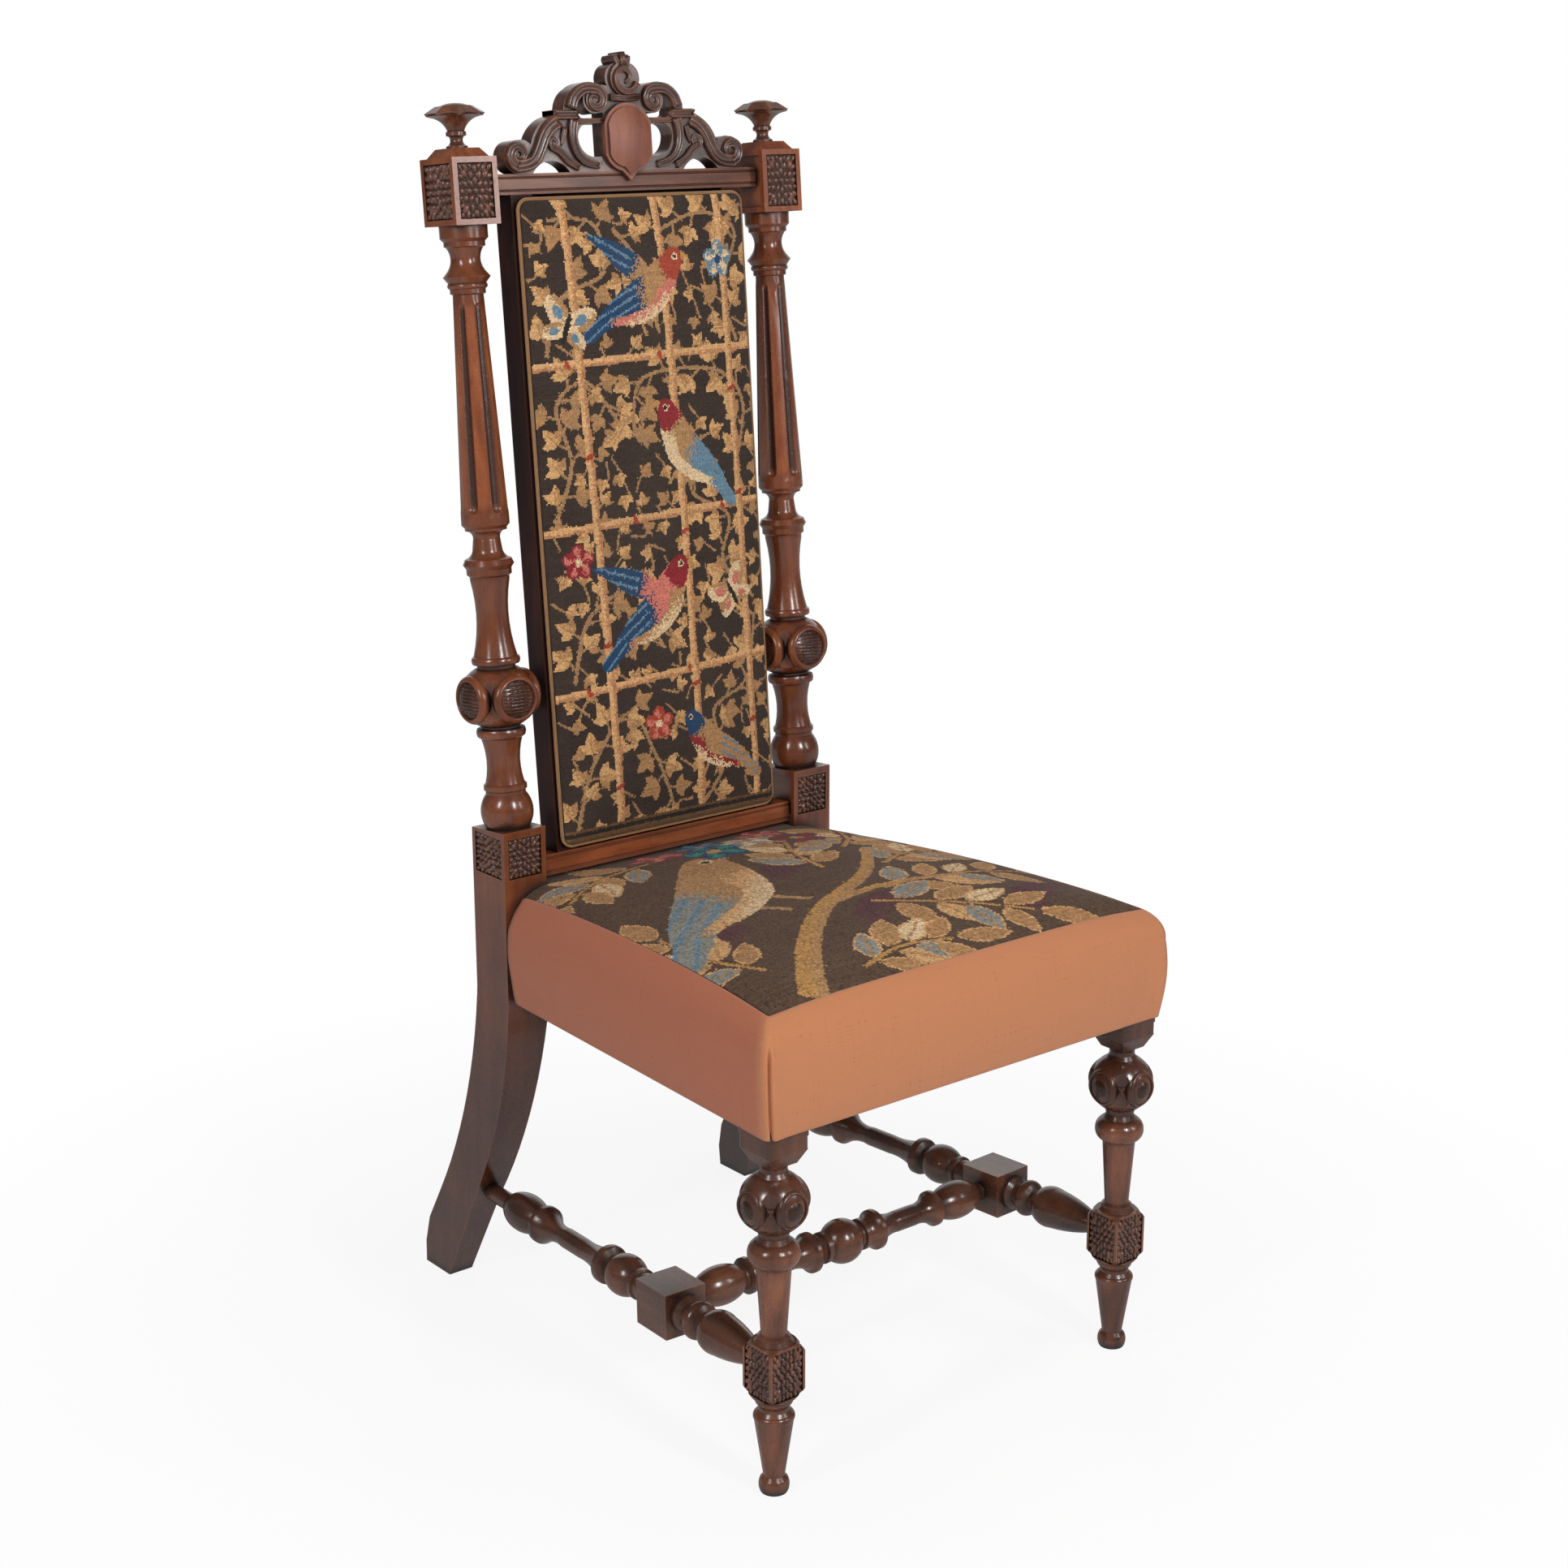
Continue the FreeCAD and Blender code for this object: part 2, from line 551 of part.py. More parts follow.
def side_rail_front_tenon(gap):
    low, high = tenon_z()
    back_of_head = LEG_Y + LEG_HEAD / 2
    middle = side_rail_x(back_of_head, RAIL_THICKNESS / 2)
    half = TENON_THICKNESS / 2 + gap
    reach = TENON_LENGTH + gap * TENON_END_GAP / JOINT_GAP
    return box(middle - half, middle + half, back_of_head - reach, back_of_head + TENON_LENGTH,
               low - gap, high + gap)


def side_rail_rear_tenon(gap):
    low, high = tenon_z()
    middle = side_rail_x(POST_FRONT_Y, RAIL_THICKNESS / 2)
    half = TENON_THICKNESS / 2 + gap
    reach = TENON_LENGTH + gap * TENON_END_GAP / JOINT_GAP
    return box(middle - half, middle + half, POST_FRONT_Y - TENON_LENGTH, POST_FRONT_Y + reach,
               low - gap, high + gap)


def back_seat_rail_tenons(gap):
    low, high = tenon_z()
    middle = BACK_RAIL_Y + RAIL_THICKNESS / 2
    half = TENON_THICKNESS / 2 + gap
    reach = POST_INNER_X + TENON_LENGTH + gap * TENON_END_GAP / JOINT_GAP
    return box(-reach, reach, middle - half, middle + half, low - gap, high + gap)


def front_seat_rail():
    half = LEG_X - LEG_HEAD / 2
    rail = box(-half, half, RAIL_FRONT_Y, RAIL_FRONT_Y + RAIL_THICKNESS, RAIL_LOW_Z, RAIL_TOP_Z)
    return tilt(rail.fuse(front_rail_tenons(0)).removeSplitter())


def back_seat_rail():
    rail = box(-POST_INNER_X, POST_INNER_X, BACK_RAIL_Y, BACK_RAIL_Y + RAIL_THICKNESS, RAIL_LOW_Z, RAIL_TOP_Z)
    return tilt(rail.fuse(back_seat_rail_tenons(0)).removeSplitter())


def right_seat_rail():
    """Side rail made over length and cut to the leg's head and the post at its shoulders."""
    front = LEG_Y + LEG_HEAD / 2
    first = front - SHOULDER_SPARE
    last = POST_FRONT_Y + SHOULDER_SPARE
    corners = [V(side_rail_x(y, inset), y, RAIL_LOW_Z) for y, inset in (
        (first, RAIL_THICKNESS), (first, 0), (last, 0), (last, RAIL_THICKNESS))]
    outline = Part.makePolygon(corners + corners[:1])
    rail = tilt(Part.Face(outline).extrude(V(0, 0, RAIL_TOP_Z - RAIL_LOW_Z)))
    rail = rail.cut(box(0, DEPTH, RAIL_FRONT_Y - SHOULDER_SPARE, front, 0, HEIGHT))
    rail = rail.cut(box(0, DEPTH, POST_FRONT_Y, DEPTH, 0, HEIGHT))
    return rail.fuse([tilt(side_rail_front_tenon(0)), tilt(side_rail_rear_tenon(0))]).removeSplitter()


def corner_block(corner, along_x, along_y):
    """Three-sided brace with its right angle at corner, fitted round the rails and the leg or post."""
    low = CORNER_BLOCK_LOW_Z
    outline = Part.makePolygon([V(corner[0], corner[1], low), V(corner[0] + along_x, corner[1], low),
                                V(corner[0], corner[1] + along_y, low), V(corner[0], corner[1], low)])
    brace = Part.Face(outline).extrude(V(0, 0, CORNER_BLOCK_TOP_Z - low))
    frame = [solids[n] for n in ("right_front_leg", "right_back_post", "front_seat_rail", "back_seat_rail",
                                 "right_seat_rail")]
    pieces = tilt(brace).cut(Part.makeCompound(frame)).Solids
    return max(pieces, key=lambda piece: piece.Volume)


def corner_screws(gap):
    """Two screws through each right-hand corner block, into the rail across and the rail along the side."""
    z = (CORNER_BLOCK_LOW_Z + CORNER_BLOCK_TOP_Z) / 2
    front = RAIL_FRONT_Y + RAIL_THICKNESS
    rear = BACK_RAIL_Y

    def beside(y):
        return V(side_rail_x(y, RAIL_THICKNESS) - SCREW_SINK, y, z + 10)
    seats = [(V(LEG_X - 58, front + SCREW_SINK, z - 10), V(0, -1, 0)), (beside(front + 48), V(1, 0, 0)),
             (V(POST_INNER_X - 14, rear - SCREW_SINK, z - 10), V(0, 1, 0)), (beside(rear - 56), V(1, 0, 0))]
    screws = []
    for seat, way in seats:
        shank = Part.makeCylinder(SCREW_RADIUS + gap, SCREW_LENGTH + gap, seat, way)
        head = Part.makeCylinder(SCREW_HEAD_RADIUS + gap, 3 + gap, seat, way)
        screw = shank.fuse(head)
        if gap:
            screw = screw.fuse(Part.makeCylinder(SCREW_HEAD_RADIUS + gap, 40, seat - way * 40, way))
        screws.append(tilt(screw))
    return screws


def corner_blocks():
    front = (side_rail_x(RAIL_FRONT_Y, RAIL_THICKNESS) + 2, RAIL_FRONT_Y + RAIL_THICKNESS - 2)
    rear = (side_rail_x(POST_FRONT_Y, RAIL_THICKNESS) + 4, BACK_RAIL_Y + 2)
    right = [corner_block(front, -CORNER_BLOCK_LEG - 18, CORNER_BLOCK_LEG + 18),
             corner_block(rear, -CORNER_BLOCK_LEG - 22, -CORNER_BLOCK_LEG - 22)]
    bores = Part.makeCompound(corner_screws(JOINT_GAP))
    right = [b.cut(bores) for b in right]
    return Part.makeCompound(right + [mirrored(b) for b in right])


def corner_block_screws():
    right = corner_screws(0)
    return Part.makeCompound(right + [mirrored(s) for s in right])


def seat_section(z, grow, radius, inset):
    """One level of the stuffed seat: the plan grown or drawn in on all sides but the rear."""
    front_half = SEAT_FRONT_HALF + grow - inset
    rear_half = SEAT_REAR_HALF + grow - inset
    front_y = SEAT_LOW_FRONT_Y - grow + inset
    rear_y = SEAT_REAR_Y - inset
    corners = [(-front_half, front_y), (front_half, front_y), (rear_half, rear_y), (-rear_half, rear_y)]
    radii = [radius - inset / 2] * 2 + [REAR_CORNER_RADIUS - inset / 2] * 2
    return round_corners(corners, radii, z)


def seat_levels():
    """Height, growth of the plan and corner radius up the seat: bulging band, rolled edge, crowned top."""
    levels = []
    for i in range(6):
        share = i / 5
        z = SEAT_LOW_Z + share * (SEAT_ROLL_Z - SEAT_LOW_Z)
        levels.append((z, SEAT_BULGE * math.sin(math.radians(135 * share)), 9 + 5 * share))
    start = levels[-1][1]
    for i in range(1, 6):
        angle = math.radians(15 * i)
        draw = start - SEAT_ROLL_WIDTH * (1 - math.cos(angle))
        levels.append((SEAT_ROLL_Z + SEAT_ROLL_HEIGHT * math.sin(angle), draw, 14 + 4 * i))
    for draw in range(40, 161, 20):
        fall = (1 - draw / SEAT_CROWN_RUN) ** 2
        levels.append((SEAT_CROWN_Z - SEAT_CROWN_RISE * fall, -draw, 34))
    return levels


def seat_form(inset):
    """The stuffed seat's outside, drawn in by inset all round and from above and below."""
    wires = []
    for z, grow, radius in seat_levels():
        drop = -inset if z == SEAT_LOW_Z else inset * (z > SEAT_ROLL_Z)
        wires.append(seat_section(z - drop, grow, radius, inset))
    body = Part.makeLoft(wires, True, True)
    tongue = box(-SEAT_TONGUE_HALF + inset, SEAT_TONGUE_HALF - inset, SEAT_REAR_Y - 60,
                 SEAT_TONGUE_Y - inset, SEAT_LOW_Z + inset, SEAT_TONGUE_TOP_Z - inset)
    back_edge = [e for e in tongue.Edges if e.BoundBox.ZMin > SEAM_Z and e.BoundBox.YMin > BACK_RAIL_Y]
    return body.fuse(tongue.makeFillet(16, back_edge))


def seam_cutter():
    """The space above the seam, with the flap that runs back between the posts."""
    above = box(-DEPTH, DEPTH, -DEPTH, DEPTH, SEAM_Z, HEIGHT)
    flap = box(-POST_INNER_X, POST_INNER_X, SEAT_REAR_Y - 14, DEPTH, SEAT_TONGUE_TOP_Z - 30, HEIGHT)
    return above.fuse(flap)


def seat_covers():
    """The needlework top and the plain border band, cut from one skin along the seam."""
    skin = seat_form(0).cut(seat_form(CLOTH))
    top = skin.common(seam_cutter())
    band = skin.cut(seam_cutter())
    front = SEAT_FRONT_HALF - BAND_LIP
    rear = SEAT_REAR_HALF - BAND_LIP
    front_y = SEAT_LOW_FRONT_Y + BAND_LIP
    rear_y = SEAT_TONGUE_Y - BAND_LIP
    under = [(-front, front_y), (front, front_y), (rear, rear_y), (-rear, rear_y)]
    opening = Part.Face(round_corners(under, [4, 4, 4, 4], SEAT_LOW_Z - 1)).extrude(V(0, 0, 4))
    band = band.cut(opening).cut(frame_outline(CLOTH_GAP, RAIL_LOW_Z, RAIL_TOP_Z + HESSIAN))
    band = band.cut(Part.makeCompound(seat_tack_solids(JOINT_GAP)))
    return tilt(top), tilt(band).cut(leg_heads(CLOTH_GAP))


def leg_heads(gap):
    """The upper ends of both front legs, with room round them."""
    half = LEG_HEAD / 2 + gap
    head = box(LEG_X - half, LEG_X + half, LEG_Y - half, LEG_Y + half, 0, RAIL_TOP_Z)
    return Part.makeCompound([head, mirrored(head)])


def frame_outline(grow, low, high):
    """Block over the whole seat frame as seen from above."""
    corners = [(-RAIL_FRONT_HALF - grow, RAIL_FRONT_Y - grow), (RAIL_FRONT_HALF + grow, RAIL_FRONT_Y - grow),
               (RAIL_REAR_HALF + grow, POST_FRONT_Y), (-RAIL_REAR_HALF - grow, POST_FRONT_Y)]
    main = Part.Face(round_corners(corners, [6, 6, 0, 0], low)).extrude(V(0, 0, high - low))
    tongue = box(-POST_INNER_X, POST_INNER_X, 0, BACK_RAIL_Y + RAIL_THICKNESS + grow, low, high)
    return main.fuse(tongue)


def seat_sheet(inset, low, thickness):
    """Flat cloth over the seat frame, drawn in from its edges, with a flap between the posts."""
    front = RAIL_FRONT_HALF - inset
    rear = RAIL_REAR_HALF - inset
    front_y = RAIL_FRONT_Y + inset
    rear_y = SEAT_REAR_Y - inset
    corners = [(-front, front_y), (front, front_y), (rear, rear_y), (-rear, rear_y)]
    sheet = Part.Face(round_corners(corners, [inset] * 4, low)).extrude(V(0, 0, thickness))
    half = SEAT_TONGUE_HALF - inset
    flap = box(-half, half, 0, BACK_RAIL_Y + RAIL_THICKNESS - inset, low, low + thickness)
    return sheet.fuse(flap).removeSplitter()


def spring_hessian():
    return tilt(seat_sheet(HESSIAN_INSET, RAIL_TOP_Z, HESSIAN))


def seat_stuffing():
    form = seat_form(CLOTH + CLOTH_GAP)
    form = form.cut(frame_outline(CLOTH_GAP, 0, RAIL_TOP_Z + HESSIAN))
    form = form.cut(box(-DEPTH, DEPTH, -DEPTH, DEPTH, 0, STUFFING_LOW_Z))
    form = form.cut(box(-DEPTH, DEPTH, BACK_RAIL_Y + RAIL_THICKNESS, DEPTH, 0, HEIGHT))
    return tilt(form).cut(leg_heads(CLOTH_GAP))


def spread(first, last, count):
    """Evenly spaced places from first to last."""
    return [first + i * (last - first) / (count - 1) for i in range(count)]


def seat_webbing():
    """Webs tacked under the rails: the ones from front to back lie on top of the ones across."""
    strips = []
    lap = RAIL_THICKNESS - BAND_LIP
    top = RAIL_LOW_Z
    front_y = RAIL_FRONT_Y + RAIL_THICKNESS - lap
    rear_y = BACK_RAIL_Y + lap
    reach = POST_INNER_X - 44
    for x in spread(-reach, reach, 4):
        strips.append(box(x - WEB_WIDTH / 2, x + WEB_WIDTH / 2, front_y, rear_y, top - WEB_THICKNESS, top))
    low = top - WEB_THICKNESS
    for y in spread(RAIL_FRONT_Y + RAIL_THICKNESS + 56, BACK_RAIL_Y - 57, 5):
        half = side_rail_x(y + WEB_WIDTH / 2, RAIL_THICKNESS) + lap - 2
        strips.append(box(-half, half, y - WEB_WIDTH / 2, y + WEB_WIDTH / 2, low - WEB_THICKNESS, low))
    return tilt(Part.makeCompound(strips))


def coil_spring():
    """Hourglass spring about Z, standing on the webs: one tube along quarter turns."""
    low = SPRING_WIRE_RADIUS
    rise = RAIL_TOP_Z - RAIL_LOW_Z - 2 * SPRING_WIRE_RADIUS

    def at(turns):
        share = turns / SPRING_TURNS
        lean = 0.5 + 0.5 * math.cos(2 * math.pi * share)
        radius = SPRING_WAIST_RADIUS + (SPRING_END_RADIUS - SPRING_WAIST_RADIUS) * lean
        angle = 2 * math.pi * turns
        return V(radius * math.cos(angle), radius * math.sin(angle), low + rise * share)
    quarters = [i / 4 for i in range(4 * SPRING_TURNS)]
    wire = Part.Wire([Part.Arc(at(t), at(t + 0.125), at(t + 0.25)).toShape() for t in quarters])
    start = wire.Edges[0]
    section = Part.makeCircle(SPRING_WIRE_RADIUS, at(0), start.tangentAt(start.FirstParameter))
    return wire.makePipeShell([Part.Wire([section])], True, False)


def seat_springs():
    spring = coil_spring()
    springs = []
    reach = POST_INNER_X - 44
    for x in spread(-reach, reach, 3):
        for y in spread(RAIL_FRONT_Y + RAIL_THICKNESS + 91, BACK_RAIL_Y - 92, 3):
            placed = spring.copy()
            placed.translate(V(x, y, RAIL_LOW_Z))
            springs.append(placed)
    return tilt(Part.makeCompound(springs))


def seat_tack_points():
    """Places of the tacks under the rails that hold the band's turned edge and the dust cover."""
    inset = BAND_LIP - 4
    front = LEG_X - 54
    rear = POST_INNER_X - 29
    points = [(x, RAIL_FRONT_Y + inset) for x in spread(-front, front, 6)]
    points += [(x, BACK_RAIL_Y + RAIL_THICKNESS - inset) for x in spread(-rear, rear, 4)]
    for y in spread(RAIL_FRONT_Y + 87, POST_FRONT_Y - 57.5, 5):
        points += [(side_rail_x(y, inset), y), (-side_rail_x(y, inset), y)]
    return points


def seat_tack_solids(gap):
    seat = RAIL_LOW_Z - 2 * WEB_THICKNESS - DUST_COVER
    tacks = []
    for x, y in seat_tack_points():
        shank = Part.makeCylinder(TACK_SHANK_RADIUS + gap, TACK_SHANK_LENGTH + gap, V(x, y, seat))
        head = Part.makeCone(1.5, TACK_HEAD_RADIUS, TACK_HEAD_HEIGHT, V(x, y, seat - TACK_HEAD_HEIGHT))
        tacks.append(shank if gap else shank.fuse(head))
    return tacks


def seat_dust_cover():
    low = RAIL_LOW_Z - 2 * WEB_THICKNESS - DUST_COVER
    sheet = seat_sheet(DUST_COVER_INSET, low, DUST_COVER)
    sheet = sheet.cut(Part.makeCompound(seat_tack_solids(JOINT_GAP)))
    return tilt(sheet).cut(leg_heads(CLOTH_GAP))


def back_rail_tenons(low, height, gap):
    """Both end tenons of a back rail as one bar, in the back's own frame."""
    reach = POST_INNER_X + TENON_LENGTH + gap * TENON_END_GAP / JOINT_GAP
    middle = (BACK_RAIL_FRONT_V + BACK_RAIL_BACK_V) / 2
    half = TENON_THICKNESS / 2 + gap
    return box(-reach, reach, middle - half, middle + half, low + 3 - gap, low + height - 3 + gap)


def stile_tenons(gap):
    """The right stile's tenons in the two back rails as one bar."""
    middle_x = STILE_OUTER_X - STILE_WIDTH / 2
    middle_v = (BACK_RAIL_FRONT_V + BACK_RAIL_BACK_V) / 2
    extra = gap * TENON_END_GAP / JOINT_GAP
    return box(middle_x - 7 - gap, middle_x + 7 + gap, middle_v - 4 - gap, middle_v + 4 + gap,
               BOTTOM_RAIL_END_S - 12 - extra, TOP_RAIL_S + 10 + extra)


def crest_dowel_solids(gap):
    extra = gap * TENON_END_GAP / JOINT_GAP
    length = CREST_DOWEL_LENGTH + 2 * extra
    middle = CREST_FRONT_V + CREST_THICKNESS / 2
    return [Part.makeCylinder(CREST_DOWEL_RADIUS + gap, length, V(x, middle, TOP_RAIL_END_S - length / 2))
            for x in (-CREST_DOWEL_X, CREST_DOWEL_X)]


def moulded_rail(low, height):
    """Back rail with a sunk line along its face above and below a flat middle."""
    rail = box(-POST_INNER_X, POST_INNER_X, BACK_RAIL_FRONT_V, BACK_RAIL_BACK_V, low, low + height)
    for s in (low + 3.5, low + height - 3.5):
        start = V(-POST_INNER_X, BACK_RAIL_FRONT_V, s)
        rail = rail.cut(Part.makeCylinder(1.1, 2 * POST_INNER_X, start, V(1, 0, 0)))
    rail = rail.fuse(back_rail_tenons(low, height, 0))
    for bar in (stile_tenons(JOINT_GAP), mirrored(stile_tenons(JOINT_GAP))):
        rail = rail.cut(bar)
    return rail


def back_top_rail():
    rail = moulded_rail(TOP_RAIL_S, TOP_RAIL_HEIGHT).cut(Part.makeCompound(crest_dowel_solids(JOINT_GAP)))
    return rake(rail.cut(Part.makeCompound(back_tack_solids(JOINT_GAP))))


def back_bottom_rail():
    rail = moulded_rail(BOTTOM_RAIL_S, BOTTOM_RAIL_HEIGHT)
    return rake(rail.cut(Part.makeCompound(back_tack_solids(JOINT_GAP))))


def right_back_stile():
    stile = box(STILE_OUTER_X - STILE_WIDTH, STILE_OUTER_X, BACK_RAIL_FRONT_V, BACK_RAIL_BACK_V,
                BOTTOM_RAIL_END_S, TOP_RAIL_S)
    stile = stile.fuse(stile_tenons(0)).removeSplitter()
    return rake(stile.cut(Part.makeCompound(back_tack_solids(JOINT_GAP))))


def panel_section(inset, v):
    """Outline of the padded back panel at depth v, drawn in by inset."""
    low = BOTTOM_RAIL_END_S + PANEL_MARGIN + GIMP_WIDTH + inset
    high = TOP_RAIL_S - PANEL_MARGIN - GIMP_WIDTH - inset
    half = PANEL_HALF - GIMP_WIDTH - inset
    wire = round_corners([(-half, low), (half, low), (half, high), (-half, high)], [6 + inset / 6] * 4, 0)
    wire.rotate(V(0, 0, 0), V(1, 0, 0), 90)
    wire.translate(V(0, v, 0))
    return wire


def back_pad_form(inset):
    """The crowned back pad, from the hessian forward."""
    back = BACK_RAIL_FRONT_V - 2 * WEB_THICKNESS - HESSIAN
    levels = [(0, 0), (0, PAD_EDGE - inset * 0.5), (6, 0.55 * PAD_CROWN - inset * 0.9),
              (24, 0.8 * PAD_CROWN - inset), (60, PAD_CROWN - inset)]
    wires = [panel_section(draw + inset, back - rise) for draw, rise in levels]
    return Part.makeLoft(wires, True, True)


def back_stuffing():
    return rake(back_pad_form(CLOTH + CLOTH_GAP))


def back_needlework_cover():
    return rake(back_pad_form(0).cut(back_pad_form(CLOTH)))


def back_hessian():
    front = BACK_RAIL_FRONT_V - 2 * WEB_THICKNESS
    return rake(Part.Face(panel_section(2, front)).extrude(V(0, -HESSIAN, 0)))


def back_webbing():
    """Webs on the face of the back frame: the upright ones lie on the ones across."""
    low = BOTTOM_RAIL_END_S + PANEL_MARGIN + GIMP_WIDTH + 3
    high = TOP_RAIL_S - PANEL_MARGIN - GIMP_WIDTH - 3
    half = PANEL_HALF - GIMP_WIDTH - 3
    front = BACK_RAIL_FRONT_V
    strips = []
    for i in range(5):
        s = low + WEB_WIDTH / 2 + i * (high - low - WEB_WIDTH) / 4
        strips.append(box(-half, half, front - WEB_THICKNESS, front, s - WEB_WIDTH / 2, s + WEB_WIDTH / 2))
    upper = front - WEB_THICKNESS
    for x in (-70, 0, 70):
        strips.append(box(x - WEB_WIDTH / 2, x + WEB_WIDTH / 2, upper - WEB_THICKNESS, upper, low, high))
    return rake(Part.makeCompound(strips))


def back_gimp():
    """Braid round the edge of the needlework, lying on the stiles and beside the rails."""
    outer = Part.Face(panel_section(-GIMP_WIDTH, BACK_RAIL_FRONT_V))
    inner = Part.Face(panel_section(-CLOTH_GAP, BACK_RAIL_FRONT_V))
    return rake(outer.cut(inner).extrude(V(0, -GIMP_HEIGHT - 2 * WEB_THICKNESS, 0)))


def back_tack_points():
    low = BOTTOM_RAIL_END_S - 8
    high = TOP_RAIL_S + 8
    side = STILE_OUTER_X - STILE_WIDTH / 2
    points = [(x, s) for s in (low, high) for x in (-100, -60, -20, 20, 60, 100)]
    for i in range(1, 9):
        s = low + i * (high - low) / 9
        points += [(-side, s), (side, s)]
    return points


def back_tack_solids(gap):
    """Domed tacks round the outside back cloth."""
    tacks = []
    rear = BACK_RAIL_BACK_V
    for x, s in back_tack_points():
        length = TACK_SHANK_LENGTH + CLOTH + gap
        shank = Part.makeCylinder(TACK_SHANK_RADIUS + gap, length, V(x, rear + CLOTH, s), V(0, -1, 0))
        head = Part.makeSphere(TACK_HEAD_RADIUS * 1.2, V(x, rear + CLOTH - 2.4, s))
        head = head.common(box(x - 9, x + 9, rear + CLOTH, rear + 20, s - 9, s + 9))
        tacks.append(shank if gap else shank.fuse(head))
    return tacks


def outside_back_cloth():
    """Cloth over the back of the frame, turned on to the rails."""
    half = STILE_OUTER_X - 4
    back = BACK_RAIL_BACK_V
    cloth = box(-half, half, back, back + CLOTH, BOTTOM_RAIL_END_S - 14, TOP_RAIL_S + 13)
    return rake(cloth.cut(Part.makeCompound(back_tack_solids(JOINT_GAP))))


def crest_outline():
    """Right half of the cresting's outline from the middle of its foot to its top, as x and height."""
    knot = CREST_HEIGHT - CREST_KNOT_RADIUS

    def at(x, h):
        return V(x, 0, TOP_RAIL_END_S + h)
    return path_edges(at(0, 0), [
        at(64, 0), (at(84, 10.5), at(104, 0)), at(CREST_REACH - 15, 0),
        (at(CREST_REACH, 14.5), at(CREST_REACH - 15, 29)),
        (at(109, 28), at(104.5, 24.5)), (at(97, 38.5), at(81, 49)), at(78, 49.5), at(78, 54.5),
        at(67, 54.5), (at(62.5, 66.5), at(53, 74)), (at(42, 78.5), at(29, 77)),
        (at(23, 76), at(17.5, knot - 9)), (at(CREST_KNOT_RADIUS - 1, knot), at(8, knot + 11)),
        (at(9.5, knot + 15), at(8, knot + 18)), at(0, CREST_HEIGHT), at(0, 0)])


def crest_piercings():
    """Openings beside the shield and above it."""
    def at(x, h):
        return V(x, 0, TOP_RAIL_END_S + h)
    beside = path_edges(at(24, 13), [
        at(36, 13), (at(48, 18.5), at(52.5, 28)), (at(51, 37), at(44, 42)), at(24, 42), at(24, 13)])
    above = path_edges(at(24, 47), [
        at(46, 47), (at(52.3, 50), at(53.5, 57)), (at(50.5, 64), at(44.5, 66.5)),
        (at(41.5, 54.7), at(33, 50.8)), at(24, 52), at(24, 47)])
    return [Part.Face(Part.Wire(beside)), Part.Face(Part.Wire(above))]


def cresting():
    half = Part.Face(Part.Wire(crest_outline()))
    for hole in crest_piercings():
        half = half.cut(hole)
    plate = half.extrude(V(0, CREST_THICKNESS, 0))
    plate.translate(V(0, CREST_FRONT_V, 0))
    knot = TOP_RAIL_END_S + CREST_HEIGHT - CREST_KNOT_RADIUS - 3
    relief = 2 * CREST_RELIEF
    raised = [Part.makeCylinder(15, relief, V(0, CREST_FRONT_V - relief, knot), V(0, 1, 0))]
    for x, h, radius in ((CREST_REACH - 14, 16, 10), (32.4, 63, 10), (80, 26, 6)):
        face = V(x, CREST_FRONT_V - CREST_RELIEF, TOP_RAIL_END_S + h)
        volute = Part.makeCylinder(radius, CREST_RELIEF, face, V(0, 1, 0))
        raised += [volute, mirrored(volute)]
    whole = plate.fuse([mirrored(plate)] + raised).removeSplitter()
    return rake(whole.cut(Part.makeCompound(crest_dowel_solids(JOINT_GAP))))


def crest_dowels():
    return rake(Part.makeCompound(crest_dowel_solids(0)))


def crest_shield():
    """Domed heater shield with a lower border on the face of the cresting, its point over the top rail."""
    half = SHIELD_HALF_WIDTH

    def at(x, h):
        return V(x, 0, TOP_RAIL_END_S + h)
    edges = path_edges(at(0, -9), [
        at(9, 0), (at(19, 4.5), at(half, 14)), at(half, 42), (at(15.8, 55.1), at(0, 60)),
        (at(-15.8, 55.1), at(-half, 42)), at(-half, 14), (at(-19, 4.5), at(-9, 0)), at(0, -9)])
    outline = Part.Face(Part.Wire(edges))
    outline.translate(V(0, CREST_FRONT_V, 0))
    border = outline.extrude(V(0, -SHIELD_BORDER_THICKNESS, 0))
    field = outline.makeOffset2D(-SHIELD_BORDER).extrude(V(0, -SHIELD_THICKNESS, 0))
    crown = V(0, CREST_FRONT_V - SHIELD_THICKNESS + SHIELD_DOME_RADIUS, TOP_RAIL_END_S + 26)
    return rake(border.fuse(field.common(Part.makeSphere(SHIELD_DOME_RADIUS, crown))).removeSplitter())


def pair(name, shape):
    solids["right_" + name] = shape
    solids["left_" + name] = mirrored(shape)


solids = {}

pair("back_post", right_back_post())
pair("front_leg", right_front_leg())
pair("finial", right_finial())
pair("side_stretcher", right_side_stretcher())
solids["cross_stretcher"] = cross_stretcher()
solids["front_seat_rail"] = front_seat_rail()
solids["back_seat_rail"] = back_seat_rail()
pair("seat_rail", right_seat_rail())
solids["corner_blocks"] = corner_blocks()
solids["corner_block_screws"] = corner_block_screws()
solids["back_top_rail"] = back_top_rail()
solids["back_bottom_rail"] = back_bottom_rail()
pair("back_stile", right_back_stile())
solids["cresting"] = cresting()
solids["crest_dowels"] = crest_dowels()
solids["crest_shield"] = crest_shield()
solids["back_webbing"] = back_webbing()
solids["back_hessian"] = back_hessian()
solids["back_stuffing"] = back_stuffing()
solids["back_needlework_cover"] = back_needlework_cover()
solids["back_gimp"] = back_gimp()
solids["outside_back_cloth"] = outside_back_cloth()
